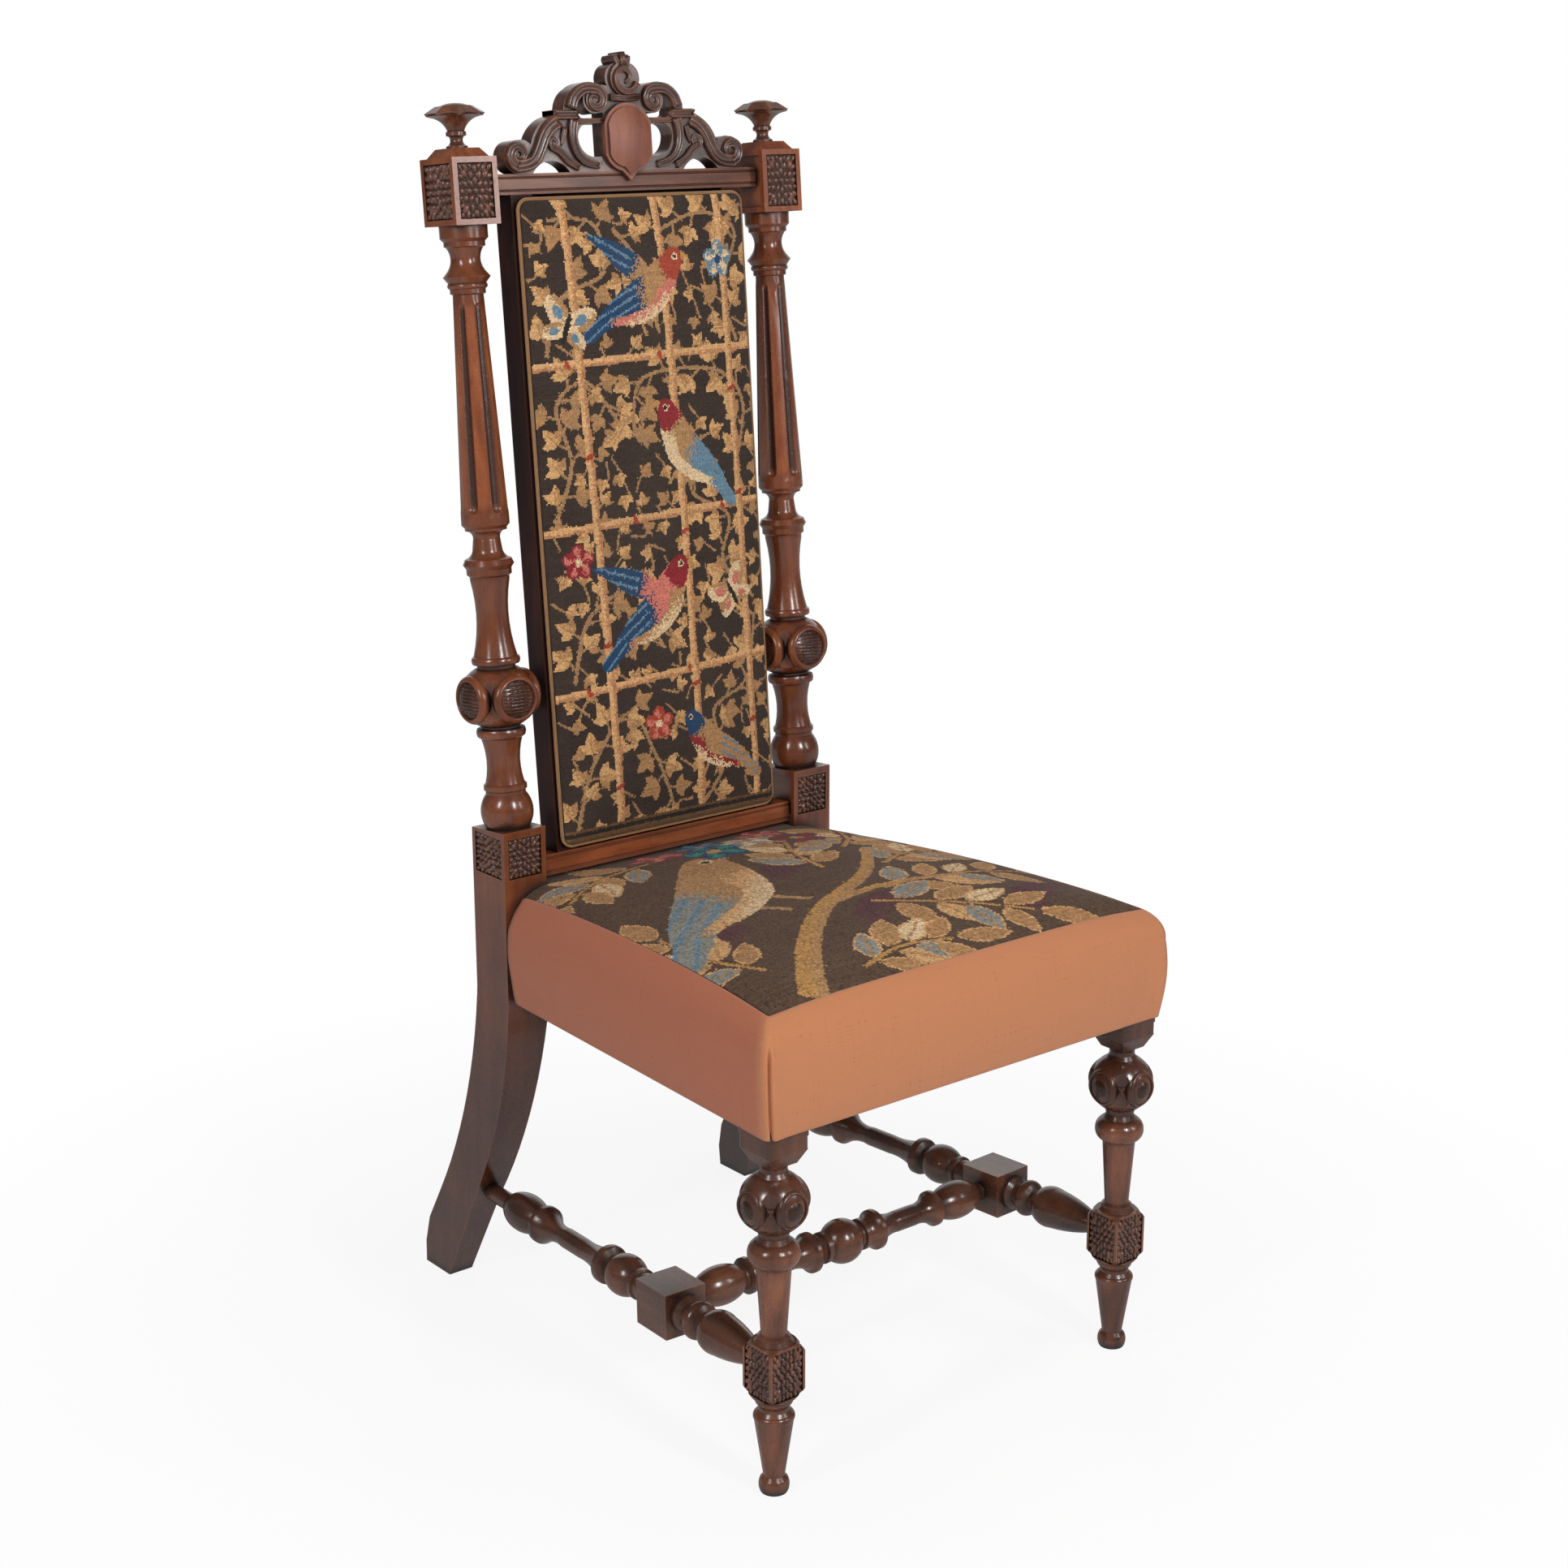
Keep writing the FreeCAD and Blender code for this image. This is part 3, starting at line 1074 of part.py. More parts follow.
solids["back_tacks"] = rake(Part.makeCompound(back_tack_solids(0)))
solids["seat_webbing"] = seat_webbing()
solids["seat_springs"] = seat_springs()
solids["spring_hessian"] = spring_hessian()
solids["seat_stuffing"] = seat_stuffing()
solids["seat_needlework_cover"], solids["seat_border_band"] = seat_covers()
solids["seat_dust_cover"] = seat_dust_cover()
solids["seat_tacks"] = tilt(Part.makeCompound(seat_tack_solids(0)))

screw_bores = corner_screws(JOINT_GAP)
tack_bores = tilt(Part.makeCompound(seat_tack_solids(JOINT_GAP)))
all_bores = Part.makeCompound(screw_bores + [mirrored(b) for b in screw_bores] + [tack_bores])
for name in ("front_seat_rail", "back_seat_rail", "left_seat_rail", "right_seat_rail"):
    solids[name] = solids[name].cut(all_bores)

os.makedirs("parts", exist_ok=True)
for name, shape in solids.items():
    shape.exportStep("parts/" + name + ".step")
    print(name, len(shape.Solids), round(shape.Volume), shape.isValid())
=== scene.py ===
import math
import bpy
import bmesh
import numpy as np
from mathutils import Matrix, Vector


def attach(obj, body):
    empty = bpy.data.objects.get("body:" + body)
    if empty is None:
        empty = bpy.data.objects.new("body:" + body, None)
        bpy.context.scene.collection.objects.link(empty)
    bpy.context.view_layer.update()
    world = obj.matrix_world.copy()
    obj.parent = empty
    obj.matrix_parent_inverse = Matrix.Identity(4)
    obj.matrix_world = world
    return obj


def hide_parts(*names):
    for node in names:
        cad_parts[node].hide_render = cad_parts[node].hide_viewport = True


# High-back side chair: turned and carved walnut, needlework back and seat, plain cloth border.
# Everything is in metres in the part's frame: the chair faces -Y and stands on z = 0.

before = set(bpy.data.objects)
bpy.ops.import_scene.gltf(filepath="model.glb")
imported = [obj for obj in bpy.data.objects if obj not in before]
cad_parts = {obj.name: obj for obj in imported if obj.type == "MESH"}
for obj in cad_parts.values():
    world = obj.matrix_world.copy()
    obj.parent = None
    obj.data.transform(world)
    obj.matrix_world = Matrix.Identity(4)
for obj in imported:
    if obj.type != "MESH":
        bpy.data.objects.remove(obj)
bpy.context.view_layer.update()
scene = bpy.context.scene
MM = 0.001

# Places repeated from the part's source
POST_X = 172 * MM
POST_AXIS_Y = 164 * MM
SEAT_BLOCK_TOP = 479.5 * MM
BACK_RAKE = math.radians(4.7)
TOP_RAIL_S = 568.52 * MM
TOP_RAIL_END_S = 586.52 * MM
TOP_BLOCK_S = 544.02 * MM
BACK_FACE_V = -15 * MM
BACK_REAR_V = 11 * MM
BOTTOM_RAIL_END_S = -31 * MM
BLOCK_WIDTH = 46 * MM
BLOCK_DEPTH = 53 * MM
TOP_BLOCK_HEIGHT = 58 * MM
SEAT_BLOCK_HEIGHT = 48 * MM
LEG_X = 204 * MM
LEG_Y = -265 * MM
LEG_BLOCK = 37 * MM
LEG_BLOCK_LOW = 89 * MM
LEG_BLOCK_HEIGHT = 50 * MM
LEG_BLOCK_CHAMFER = 8 * MM
LEG_BALL_Z = 264 * MM
COLUMN_BALL_S = 122.5 * MM
FLUTE_COUNT = 6
FLUTE_LOW_S = 292 * MM
FLUTE_HIGH_S = TOP_BLOCK_S - 66 * MM
CARVED_BORDER = 5 * MM
CARVED_RECESS = 2.2 * MM
LEG_CARVED_BORDER = 2.5 * MM
SEAT_TILT = math.radians(1.7)
RAIL_FRONT_Y = -287 * MM
RAIL_LOW_Z = 331.5 * MM
SEAT_FRONT_Y = -289.5 * MM
SEAT_REAR_Y = 132.5 * MM
SEAT_TONGUE_Y = 179.8 * MM
SEAT_TONGUE_HALF = 148 * MM
SEAT_FRONT_HALF = 229.5 * MM
SEAT_REAR_HALF = 190 * MM
SEAT_LOW_Z = 329.5 * MM
SEAT_ROLL_Z = 402 * MM
SEAT_CROWN_Z = 450 * MM
PANEL_HALF = 124 * MM
PANEL_LOW_S = BOTTOM_RAIL_END_S + 6 * MM
PANEL_HIGH_S = TOP_RAIL_S - 6 * MM


def raked(points):
    """Points of the back's own frame, as x, depth v and height s, put on the raked posts."""
    points = np.asarray(points, float)
    x, v, s = points[..., 0], points[..., 1], points[..., 2]
    cos, sin = math.cos(BACK_RAKE), math.sin(BACK_RAKE)
    return np.stack([x, POST_AXIS_Y + v * cos + s * sin, SEAT_BLOCK_TOP - v * sin + s * cos], -1)


def tilted(points):
    """Points of the level seat tipped back about the lower front edge of its frame."""
    points = np.asarray(points, float)
    dy, dz = points[..., 1] - RAIL_FRONT_Y, points[..., 2] - RAIL_LOW_Z
    cos, sin = math.cos(SEAT_TILT), math.sin(SEAT_TILT)
    y = RAIL_FRONT_Y + dy * cos + dz * sin
    return np.stack([points[..., 0], y, RAIL_LOW_Z - dy * sin + dz * cos], -1)


def mesh_object(name, points, faces, smooth=True):
    """A mesh with these points and faces as a new object at the origin."""
    mesh = bpy.data.meshes.new(name)
    mesh.from_pydata([tuple(p) for p in np.asarray(points, float).reshape(-1, 3)], [], faces)
    mesh.validate()
    mesh.polygons.foreach_set("use_smooth", [smooth] * len(mesh.polygons))
    made = bpy.data.objects.new(name, mesh)
    scene.collection.objects.link(made)
    return made


def grid_faces(columns, rows):
    """Quads over a grid of (rows + 1) by (columns + 1) points, row by row."""
    corner = np.arange(rows)[:, None] * (columns + 1) + np.arange(columns)[None, :]
    quads = np.stack([corner, corner + 1, corner + columns + 2, corner + columns + 1], -1)
    return quads.reshape(-1, 4).tolist()


def closed(made, depth_of):
    """Closes an open surface: its rim is carried to where depth_of puts it and capped there."""
    work = bmesh.new()
    work.from_mesh(made.data)
    rim = [e for e in work.edges if e.is_boundary]
    extruded = bmesh.ops.extrude_edge_only(work, edges=rim)["geom"]
    moved = [g for g in extruded if isinstance(g, bmesh.types.BMVert)]
    for vertex in moved:
        vertex.co = depth_of(vertex.co)
    edges = [g for g in extruded if isinstance(g, bmesh.types.BMEdge)]
    bmesh.ops.triangle_fill(work, use_beauty=True, use_dissolve=False, edges=edges)
    bmesh.ops.recalc_face_normals(work, faces=work.faces)
    work.to_mesh(made.data)
    work.free()
    return made


def finish_piece(made, material, replaced=()):
    """Gives a piece its material and fixes it to the chair."""
    made.data.materials.clear()
    made.data.materials.append(material)
    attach(made, "root")
    if replaced:
        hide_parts(*replaced)
    return made


# Shader helpers

def wire(tree, node, inputs):
    """Sets a node's sockets to values or links them to other sockets."""
    for key, value in inputs.items():
        if isinstance(value, bpy.types.NodeSocket):
            tree.links.new(value, node.inputs[key])
        else:
            node.inputs[key].default_value = value


def add(tree, kind, inputs=None, **settings):
    """A new node with its settings and inputs."""
    node = tree.nodes.new(kind)
    for key, value in settings.items():
        setattr(node, key, value)
    wire(tree, node, inputs or {})
    return node


def math_node(tree, operation, first, second=0.0, third=None):
    inputs = {0: first, 1: second}
    if third is not None:
        inputs[2] = third
    return add(tree, "ShaderNodeMath", inputs, operation=operation).outputs[0]


def times(tree, vector, share):
    """A vector with each of its parts multiplied."""
    return add(tree, "ShaderNodeVectorMath", {0: vector, 1: share}, operation="MULTIPLY").outputs[0]


def noise(tree, vector, scale, detail):
    inputs = {"Vector": vector, "Scale": scale, "Detail": detail}
    return add(tree, "ShaderNodeTexNoise", inputs).outputs["Fac"]


def mapped(tree, value, start, end, low=0.0, high=1.0):
    """Runs evenly from low at start to high at end, and no further."""
    inputs = {"Value": value, "From Min": start, "From Max": end, "To Min": low, "To Max": high}
    return add(tree, "ShaderNodeMapRange", inputs).outputs["Result"]


def ramp(tree, value, stops):
    """A colour ramp with (place, colour) stops; the colours are linear."""
    node = add(tree, "ShaderNodeValToRGB", {"Fac": value})
    while len(node.color_ramp.elements) < len(stops):
        node.color_ramp.elements.new(0.5)
    for element, (place, colour) in zip(node.color_ramp.elements, stops):
        element.position = place
        element.color = (*colour, 1)
    return node.outputs["Color"]


def mix(tree, factor, first, second, blend="MIX"):
    first, second = (colour if isinstance(colour, bpy.types.NodeSocket) else (*colour, 1)
                     for colour in (first, second))
    node = add(tree, "ShaderNodeMix", data_type="RGBA", blend_type=blend)
    wire(tree, node, {0: factor, 6: first, 7: second})
    return node.outputs[2]


def raise_surface(tree, shader, height, strength, distance):
    """Fine relief of a surface from a height."""
    bump = add(tree, "ShaderNodeBump", {"Height": height, "Strength": strength, "Distance": distance})
    wire(tree, shader, {"Normal": bump.outputs["Normal"]})


def group(name, inputs, outputs):
    """An empty group that takes a vector and named numbers and gives numbers, as (tree, input, output)."""
    tree = bpy.data.node_groups.new(name, "ShaderNodeTree")
    tree.interface.new_socket("Vector", in_out="INPUT", socket_type="NodeSocketVector")
    for label, value in inputs.items():
        socket = tree.interface.new_socket(label, in_out="INPUT", socket_type="NodeSocketFloat")
        socket.default_value = value
    for label in outputs:
        tree.interface.new_socket(label, in_out="OUTPUT", socket_type="NodeSocketFloat")
    return tree, tree.nodes.new("NodeGroupInput"), tree.nodes.new("NodeGroupOutput")


def use(tree, grouped, inputs):
    return add(tree, "ShaderNodeGroup", inputs, node_tree=grouped)


def srgb(red, green, blue):
    """A colour written in 0 to 255, made linear."""
    return tuple(c / 12.92 if c <= 0.04045 else ((c + 0.055) / 1.055) ** 2.4
                 for c in (red / 255, green / 255, blue / 255))


def wood_grain_group():
    """Figure and pores of wood whose grain runs along the third axis of its vector."""
    tree, start, end = group("wood_grain", {"Figure Scale": 30.0, "Pore Scale": 900.0}, ("Figure", "Pores"))
    place = start.outputs["Vector"]
    sway = add(tree, "ShaderNodeTexNoise", {"Vector": place, "Scale": 9.0, "Detail": 2.0})
    swayed = add(tree, "ShaderNodeVectorMath",
                 {0: sway.outputs["Color"], 1: (0.03, 0.03, 0.03), 2: times(tree, place, (1, 1, 0.09))},
                 operation="MULTIPLY_ADD").outputs[0]
    streaks = add(tree, "ShaderNodeTexNoise", {"Vector": swayed, "Scale": start.outputs["Figure Scale"],
                                               "Detail": 6.0, "Roughness": 0.62})
    rings = add(tree, "ShaderNodeTexWave",
                {"Vector": swayed, "Scale": 26.0, "Distortion": 7.0, "Detail": 3.0}, bands_direction="X")
    figure = math_node(tree, "MULTIPLY_ADD", rings.outputs["Fac"], 0.07, streaks.outputs["Fac"])
    pores = noise(tree, times(tree, place, (1, 1, 0.03)), start.outputs["Pore Scale"], 2.0)
    wire(tree, end, {"Figure": figure, "Pores": pores})
    return tree


def age_group():
    """Uneven polish: a slow mask of rubbed places and a finer one of specks and scuffs."""
    tree, start, end = group("uneven_age", {"Scale": 14.0}, ("Rubbed", "Specks"))
    place, scale = start.outputs["Vector"], start.outputs["Scale"]
    slow = noise(tree, place, scale, 4.0)
    fine = noise(tree, place, math_node(tree, "MULTIPLY", scale, 24.0), 3.0)
    wire(tree, end, {"Rubbed": mapped(tree, slow, 0.35, 0.68), "Specks": mapped(tree, fine, 0.60, 0.74)})
    return tree


def weave_group():
    """Plain weave on a UV map in thread counts: thread height and a slubby shade."""
    tree, start, end = group("plain_weave", {"Slub": 0.5}, ("Height", "Shade"))
    place = start.outputs["Vector"]
    parts = add(tree, "ShaderNodeSeparateXYZ", {0: place})
    warp, weft = (math_node(tree, "SINE", math_node(tree, "MULTIPLY", parts.outputs[axis], 2 * math.pi))
                  for axis in ("X", "Y"))
    over = math_node(tree, "MULTIPLY", warp, weft)
    ridge = math_node(tree, "ADD", math_node(tree, "ABSOLUTE", warp), math_node(tree, "ABSOLUTE", weft))
    height = math_node(tree, "MULTIPLY_ADD", over, 0.35, ridge)
    across, down = (noise(tree, times(tree, place, run), 1.0, 3.0)
                    for run in ((0.02, 0.6, 0), (0.6, 0.02, 0)))
    slubs = math_node(tree, "ADD", across, down)
    spread = math_node(tree, "MULTIPLY", math_node(tree, "SUBTRACT", slubs, 1.0), start.outputs["Slub"])
    # The shade gives the thread crowns a faint painted highlight, and the slubs give uneven tone.
    shade = math_node(tree, "ADD", math_node(tree, "MULTIPLY_ADD", ridge, 0.04, 0.5), spread)
    wire(tree, end, {"Height": height, "Shade": math_node(tree, "ADD", shade, 0.42)})
    return tree


def stitch_group():
    """Slanting wool stitches, one to each unit square of the UV map."""
    tree, start, end = group("tent_stitch", {}, ("Height", "Shade"))
    cell = add(tree, "ShaderNodeVectorMath", {0: start.outputs["Vector"]}, operation="FRACTION")
    parts = add(tree, "ShaderNodeSeparateXYZ", {0: cell.outputs[0]})
    across = math_node(tree, "SUBTRACT", parts.outputs["X"], parts.outputs["Y"])
    along = math_node(tree, "SUBTRACT", math_node(tree, "ADD", parts.outputs["X"], parts.outputs["Y"]), 1.0)
    side = math_node(tree, "MULTIPLY", across, across)
    tips = math_node(tree, "MULTIPLY", math_node(tree, "MULTIPLY", along, along), 0.45)
    height = math_node(tree, "SUBTRACT", 1.0, math_node(tree, "ADD", side, tips))
    # Shade follows the stitch's height, so each stitch is painted darker towards its edges as painted shade,
    # with random fuzz in tone.
    fuzz = noise(tree, start.outputs["Vector"], 5.0, 3.0)
    wire(tree, end, {"Height": height, "Shade": math_node(tree, "MULTIPLY", height, fuzz)})
    return tree


GRAIN = wood_grain_group()
AGE = age_group()
WEAVE = weave_group()
STITCH = stitch_group()


def shader_tree(name):
    """A material with an empty tree, as (material, tree, Principled shader, object coordinates)."""
    material = bpy.data.materials.new(name)
    material.use_nodes = True
    tree = material.node_tree
    tree.nodes.clear()
    shader = tree.nodes.new("ShaderNodeBsdfPrincipled")
    add(tree, "ShaderNodeOutputMaterial", {"Surface": shader.outputs["BSDF"]})
    return material, tree, shader, tree.nodes.new("ShaderNodeTexCoord")


def post_stain_and_shade(tree, spot):
    """How dark the back posts are painted: stain in the flutes and on mouldings by the shafts, and painted
    shade towards the feet.
    """
    middle = (0, POST_AXIS_Y, SEAT_BLOCK_TOP)
    upright = add(tree, "ShaderNodeVectorRotate", {"Vector": spot, "Center": middle, "Angle": BACK_RAKE},
                  rotation_type="X_AXIS")
    across, depth, height = add(tree, "ShaderNodeSeparateXYZ", {0: upright.outputs[0]}).outputs
    out = math_node(tree, "SUBTRACT", math_node(tree, "ABSOLUTE", across), POST_X)
    around = math_node(tree, "ARCTAN2", math_node(tree, "SUBTRACT", depth, POST_AXIS_Y), out)
    wave = math_node(tree, "COSINE", math_node(tree, "MULTIPLY", around, FLUTE_COUNT))
    low = SEAT_BLOCK_TOP + FLUTE_LOW_S
    high = SEAT_BLOCK_TOP + FLUTE_HIGH_S
    inside = math_node(tree, "MULTIPLY", mapped(tree, height, low, low + 0.008),
                       mapped(tree, height, high, high - 0.008))
    flutes = math_node(tree, "MULTIPLY", inside, mapped(tree, wave, 0.2, -0.85, 0.0, 0.9))
    block = SEAT_BLOCK_TOP + TOP_BLOCK_S
    below_block = mapped(tree, height, block, block - 0.002, 0.0, 0.36)
    mouldings = math_node(tree, "MULTIPLY", below_block, math_node(tree, "SUBTRACT", 1.0, inside))
    # Darker towards the feet: painted shade where less light reaches the lower posts.
    feet = mapped(tree, height, 0.62, 0.20, 0.0, 0.75)
    return math_node(tree, "MAXIMUM", flutes, math_node(tree, "MAXIMUM", mouldings, feet))


def leg_stain(tree, spot):
    """How dark the front legs have gone: all but their shafts and feet."""
    height = add(tree, "ShaderNodeSeparateXYZ", {0: spot}).outputs["Z"]
    above = mapped(tree, height, 0.222, 0.232, 0.0, 0.5)
    on_block = math_node(tree, "MULTIPLY", mapped(tree, height, 0.084, 0.090),
                         mapped(tree, height, 0.150, 0.142, 0.0, 0.4))
    return math_node(tree, "MAXIMUM", above, on_block)


def grime_and_shade(tree, spot):
    """How dark the carving is painted, as its own attribute gives it: grime and painted shade in its
    hollows.
    """
    return add(tree, "ShaderNodeAttribute", attribute_name="grime_and_shade").outputs["Fac"]


def wood(name, turn, stops, edge, pore_grime_and_shade, gloss, shine, reach=0.012, stain_and_shade=None):
    """Wood with its grain along one axis, edges lightened as wear and painted highlight, hollows darkened as
    grime and painted shade, and uneven polish.

    Its last argument is a function that gives how dark the wood is painted at a spot, as stain and as
    painted shade.
    """
    material, tree, shader, place = shader_tree(name)
    laid = add(tree, "ShaderNodeMapping", {"Vector": place.outputs["Object"], "Rotation": turn})
    grain = use(tree, GRAIN, {"Vector": laid.outputs[0]})
    age = use(tree, AGE, {"Vector": place.outputs["Object"]})
    colour = ramp(tree, grain.outputs["Figure"], stops)
    pores = math_node(tree, "MULTIPLY", math_node(tree, "LESS_THAN", grain.outputs["Pores"], 0.41), 0.22)
    colour = mix(tree, pores, colour, pore_grime_and_shade)
    colour = mix(tree, mapped(tree, age.outputs["Rubbed"], 0.0, 1.0, 0.5, 0.0), colour, stops[0][1])
    if stain_and_shade:
        colour = mix(tree, stain_and_shade(tree, place.outputs["Object"]), colour, STAIN_AND_SHADE)
    # Edges found by inside ambient occlusion are lightened towards the edge colour: wear, and painted
    # highlight.
    corner = add(tree, "ShaderNodeAmbientOcclusion", {"Distance": 0.003},
                 samples=6, inside=True, only_local=True)
    colour = mix(tree, mapped(tree, corner.outputs["AO"], 0.30, 0.75, 0.4, 0.0), colour, edge)
    # Painted shade: hollows found by ambient occlusion are darkened towards the grime colour, which also
    # stands for grime, and are made rougher.
    hollow = add(tree, "ShaderNodeAmbientOcclusion", {"Distance": reach}, samples=8)
    hollow_shade_and_grime = mapped(tree, hollow.outputs["AO"], 0.40, 0.95, 0.95, 0.0)
    colour = mix(tree, hollow_shade_and_grime, colour, pore_grime_and_shade)
    rough = math_node(tree, "MULTIPLY_ADD", age.outputs["Specks"], 0.14, gloss)
    wire(tree, shader, {"Base Color": colour, "Specular IOR Level": shine,
                        "Roughness": math_node(tree, "MULTIPLY_ADD", hollow_shade_and_grime, 0.30, rough)})
    raise_surface(tree, shader, grain.outputs["Pores"], 0.02, 0.0004)
    return material


ALONG_Z = (0, 0, 0)
ALONG_X = (0, math.pi / 2, 0)
ALONG_Y = (math.pi / 2, 0, 0)
WALNUT_STOPS = [(0.30, srgb(96, 47, 29)), (0.48, srgb(140, 74, 43)), (0.66, srgb(170, 96, 56)),
                (0.85, srgb(194, 116, 72))]
BROWN_STOPS = [(0.30, srgb(66, 38, 27)), (0.48, srgb(112, 65, 45)), (0.66, srgb(146, 88, 60)),
               (0.85, srgb(170, 107, 73))]
STRETCHER_STOPS = [(0.30, srgb(48, 28, 21)), (0.48, srgb(90, 54, 39)), (0.66, srgb(124, 77, 54)),
                   (0.85, srgb(150, 96, 68))]
CREST_STOPS = [(0.30, srgb(42, 25, 20)), (0.48, srgb(82, 50, 38)), (0.66, srgb(116, 73, 55)),
               (0.85, srgb(142, 94, 72))]
# The stiles' wood is dark, and darker still as painted shade for their shadowed sides.
STILE_SHADE_STOPS = [(0.30, srgb(32, 15, 13)), (0.50, srgb(52, 25, 20)), (0.80, srgb(78, 38, 29))]
SHIELD_STOPS = [(0.30, srgb(90, 46, 32)), (0.50, srgb(134, 72, 48)), (0.80, srgb(166, 95, 64))]
BEECH_STOPS = [(0.30, srgb(160, 120, 80)), (0.55, srgb(196, 156, 108)), (0.80, srgb(214, 178, 130))]
# The first colour below darkens stains, and gives painted shade on the lower posts and in carved hollows.
# The two edge colours lighten edges as wear and painted highlight. The grime colour darkens pores, and
# darkens hollows as painted shade.
STAIN_AND_SHADE = srgb(44, 22, 16)
EDGE_WEAR_AND_HIGHLIGHT = srgb(168, 102, 66)
DARK_EDGE_WEAR_AND_HIGHLIGHT = srgb(128, 76, 52)
PORE_GRIME_AND_SHADE = srgb(26, 15, 12)
walnut_upright = wood("walnut_upright", ALONG_Z, WALNUT_STOPS, EDGE_WEAR_AND_HIGHLIGHT, PORE_GRIME_AND_SHADE, 0.22, 0.95, stain_and_shade=post_stain_and_shade)
walnut_across = wood("walnut_across", ALONG_X, WALNUT_STOPS, EDGE_WEAR_AND_HIGHLIGHT, PORE_GRIME_AND_SHADE, 0.26, 0.4)
brown_upright = wood("brown_walnut_upright", ALONG_Z, BROWN_STOPS, EDGE_WEAR_AND_HIGHLIGHT, PORE_GRIME_AND_SHADE, 0.22, 0.9, stain_and_shade=leg_stain)
brown_across = wood("brown_walnut_across", ALONG_X, BROWN_STOPS, EDGE_WEAR_AND_HIGHLIGHT, PORE_GRIME_AND_SHADE, 0.25, 0.45)
stretcher_across = wood("stretcher_walnut_across", ALONG_X, STRETCHER_STOPS, EDGE_WEAR_AND_HIGHLIGHT, PORE_GRIME_AND_SHADE, 0.22, 0.9)
stretcher_lengthwise = wood("stretcher_walnut_lengthwise", ALONG_Y, STRETCHER_STOPS, EDGE_WEAR_AND_HIGHLIGHT, PORE_GRIME_AND_SHADE, 0.22, 0.9)
oval_walnut = wood("oval_walnut", ALONG_Z, WALNUT_STOPS, EDGE_WEAR_AND_HIGHLIGHT, PORE_GRIME_AND_SHADE, 0.27, 0.7, 0.007, grime_and_shade)
oval_brown = wood("oval_brown_walnut", ALONG_Z, STRETCHER_STOPS, DARK_EDGE_WEAR_AND_HIGHLIGHT, PORE_GRIME_AND_SHADE, 0.27, 0.7, 0.007, grime_and_shade)
# Stiles: dark wood with painted shade.
shaded_stile_walnut = wood("stile_walnut_painted_shade", ALONG_Z, STILE_SHADE_STOPS, DARK_EDGE_WEAR_AND_HIGHLIGHT, PORE_GRIME_AND_SHADE, 0.34, 0.15)
dark_across = wood("dark_walnut_across", ALONG_X, CREST_STOPS, EDGE_WEAR_AND_HIGHLIGHT, PORE_GRIME_AND_SHADE, 0.22, 1.0, 0.009)
carved_walnut = wood("carved_walnut", ALONG_Z, BROWN_STOPS, DARK_EDGE_WEAR_AND_HIGHLIGHT, PORE_GRIME_AND_SHADE, 0.24, 0.9, 0.005, grime_and_shade)
walnut_shield = wood("walnut_shield", ALONG_Z, SHIELD_STOPS, EDGE_WEAR_AND_HIGHLIGHT, PORE_GRIME_AND_SHADE, 0.42, 0.9)
beech = wood("sawn_beech", ALONG_X, BEECH_STOPS, srgb(206, 170, 124), srgb(90, 62, 40), 0.62, 0.3)


def metal(name, colour, tarnish, gloss):
    """Small metal parts, dulled in patches."""
    material, tree, shader, place = shader_tree(name)
    age = use(tree, AGE, {"Vector": place.outputs["Object"], "Scale": 60.0})
    wire(tree, shader, {"Base Color": mix(tree, age.outputs["Rubbed"], tarnish, colour), "Metallic": 1.0,
                        "Roughness": math_node(tree, "MULTIPLY_ADD", age.outputs["Specks"], 0.3, gloss)})
    return material


def cloth(name, dark, light, threads, slub, sheen, relief, unfaded_and_shaded=None):
    """Plain woven cloth on the piece's UV map, which is in metres; threads are per metre.

    The last argument gives the middle and half width of the faded front along the map, and the tint beyond
    it, which makes the sides redder as less faded dye and darker as painted shade.
    """
    material, tree, shader, place = shader_tree(name)
    counted = add(tree, "ShaderNodeMapping", {"Vector": place.outputs["UV"], "Scale": (threads, threads, 1)})
    woven = use(tree, WEAVE, {"Vector": counted.outputs[0], "Slub": slub})
    age = use(tree, AGE, {"Vector": place.outputs["Object"], "Scale": 9.0})
    colour = ramp(tree, woven.outputs["Shade"], [(0.25, dark), (0.75, light)])
    colour = mix(tree, math_node(tree, "MULTIPLY", age.outputs["Rubbed"], 0.42), colour, light)
    colour = mix(tree, math_node(tree, "MULTIPLY", age.outputs["Specks"], 0.08), colour, dark)
    # The sides beyond the faded front: redder dye, and darker as painted shade.
    if unfaded_and_shaded is not None:
        along = add(tree, "ShaderNodeSeparateXYZ", {0: place.outputs["UV"]}).outputs["X"]
        off_front = math_node(tree, "ABSOLUTE", math_node(tree, "SUBTRACT", along, unfaded_and_shaded[0]))
        side = mapped(tree, off_front, unfaded_and_shaded[1], unfaded_and_shaded[1] + 0.01)
        colour = mix(tree, side, colour, unfaded_and_shaded[2], "MULTIPLY")
    wire(tree, shader, {"Base Color": colour, "Roughness": 0.9, "Sheen Weight": sheen,
                        "Sheen Roughness": 0.5})
    raise_surface(tree, shader, woven.outputs["Height"], 0.35, relief)
    return material


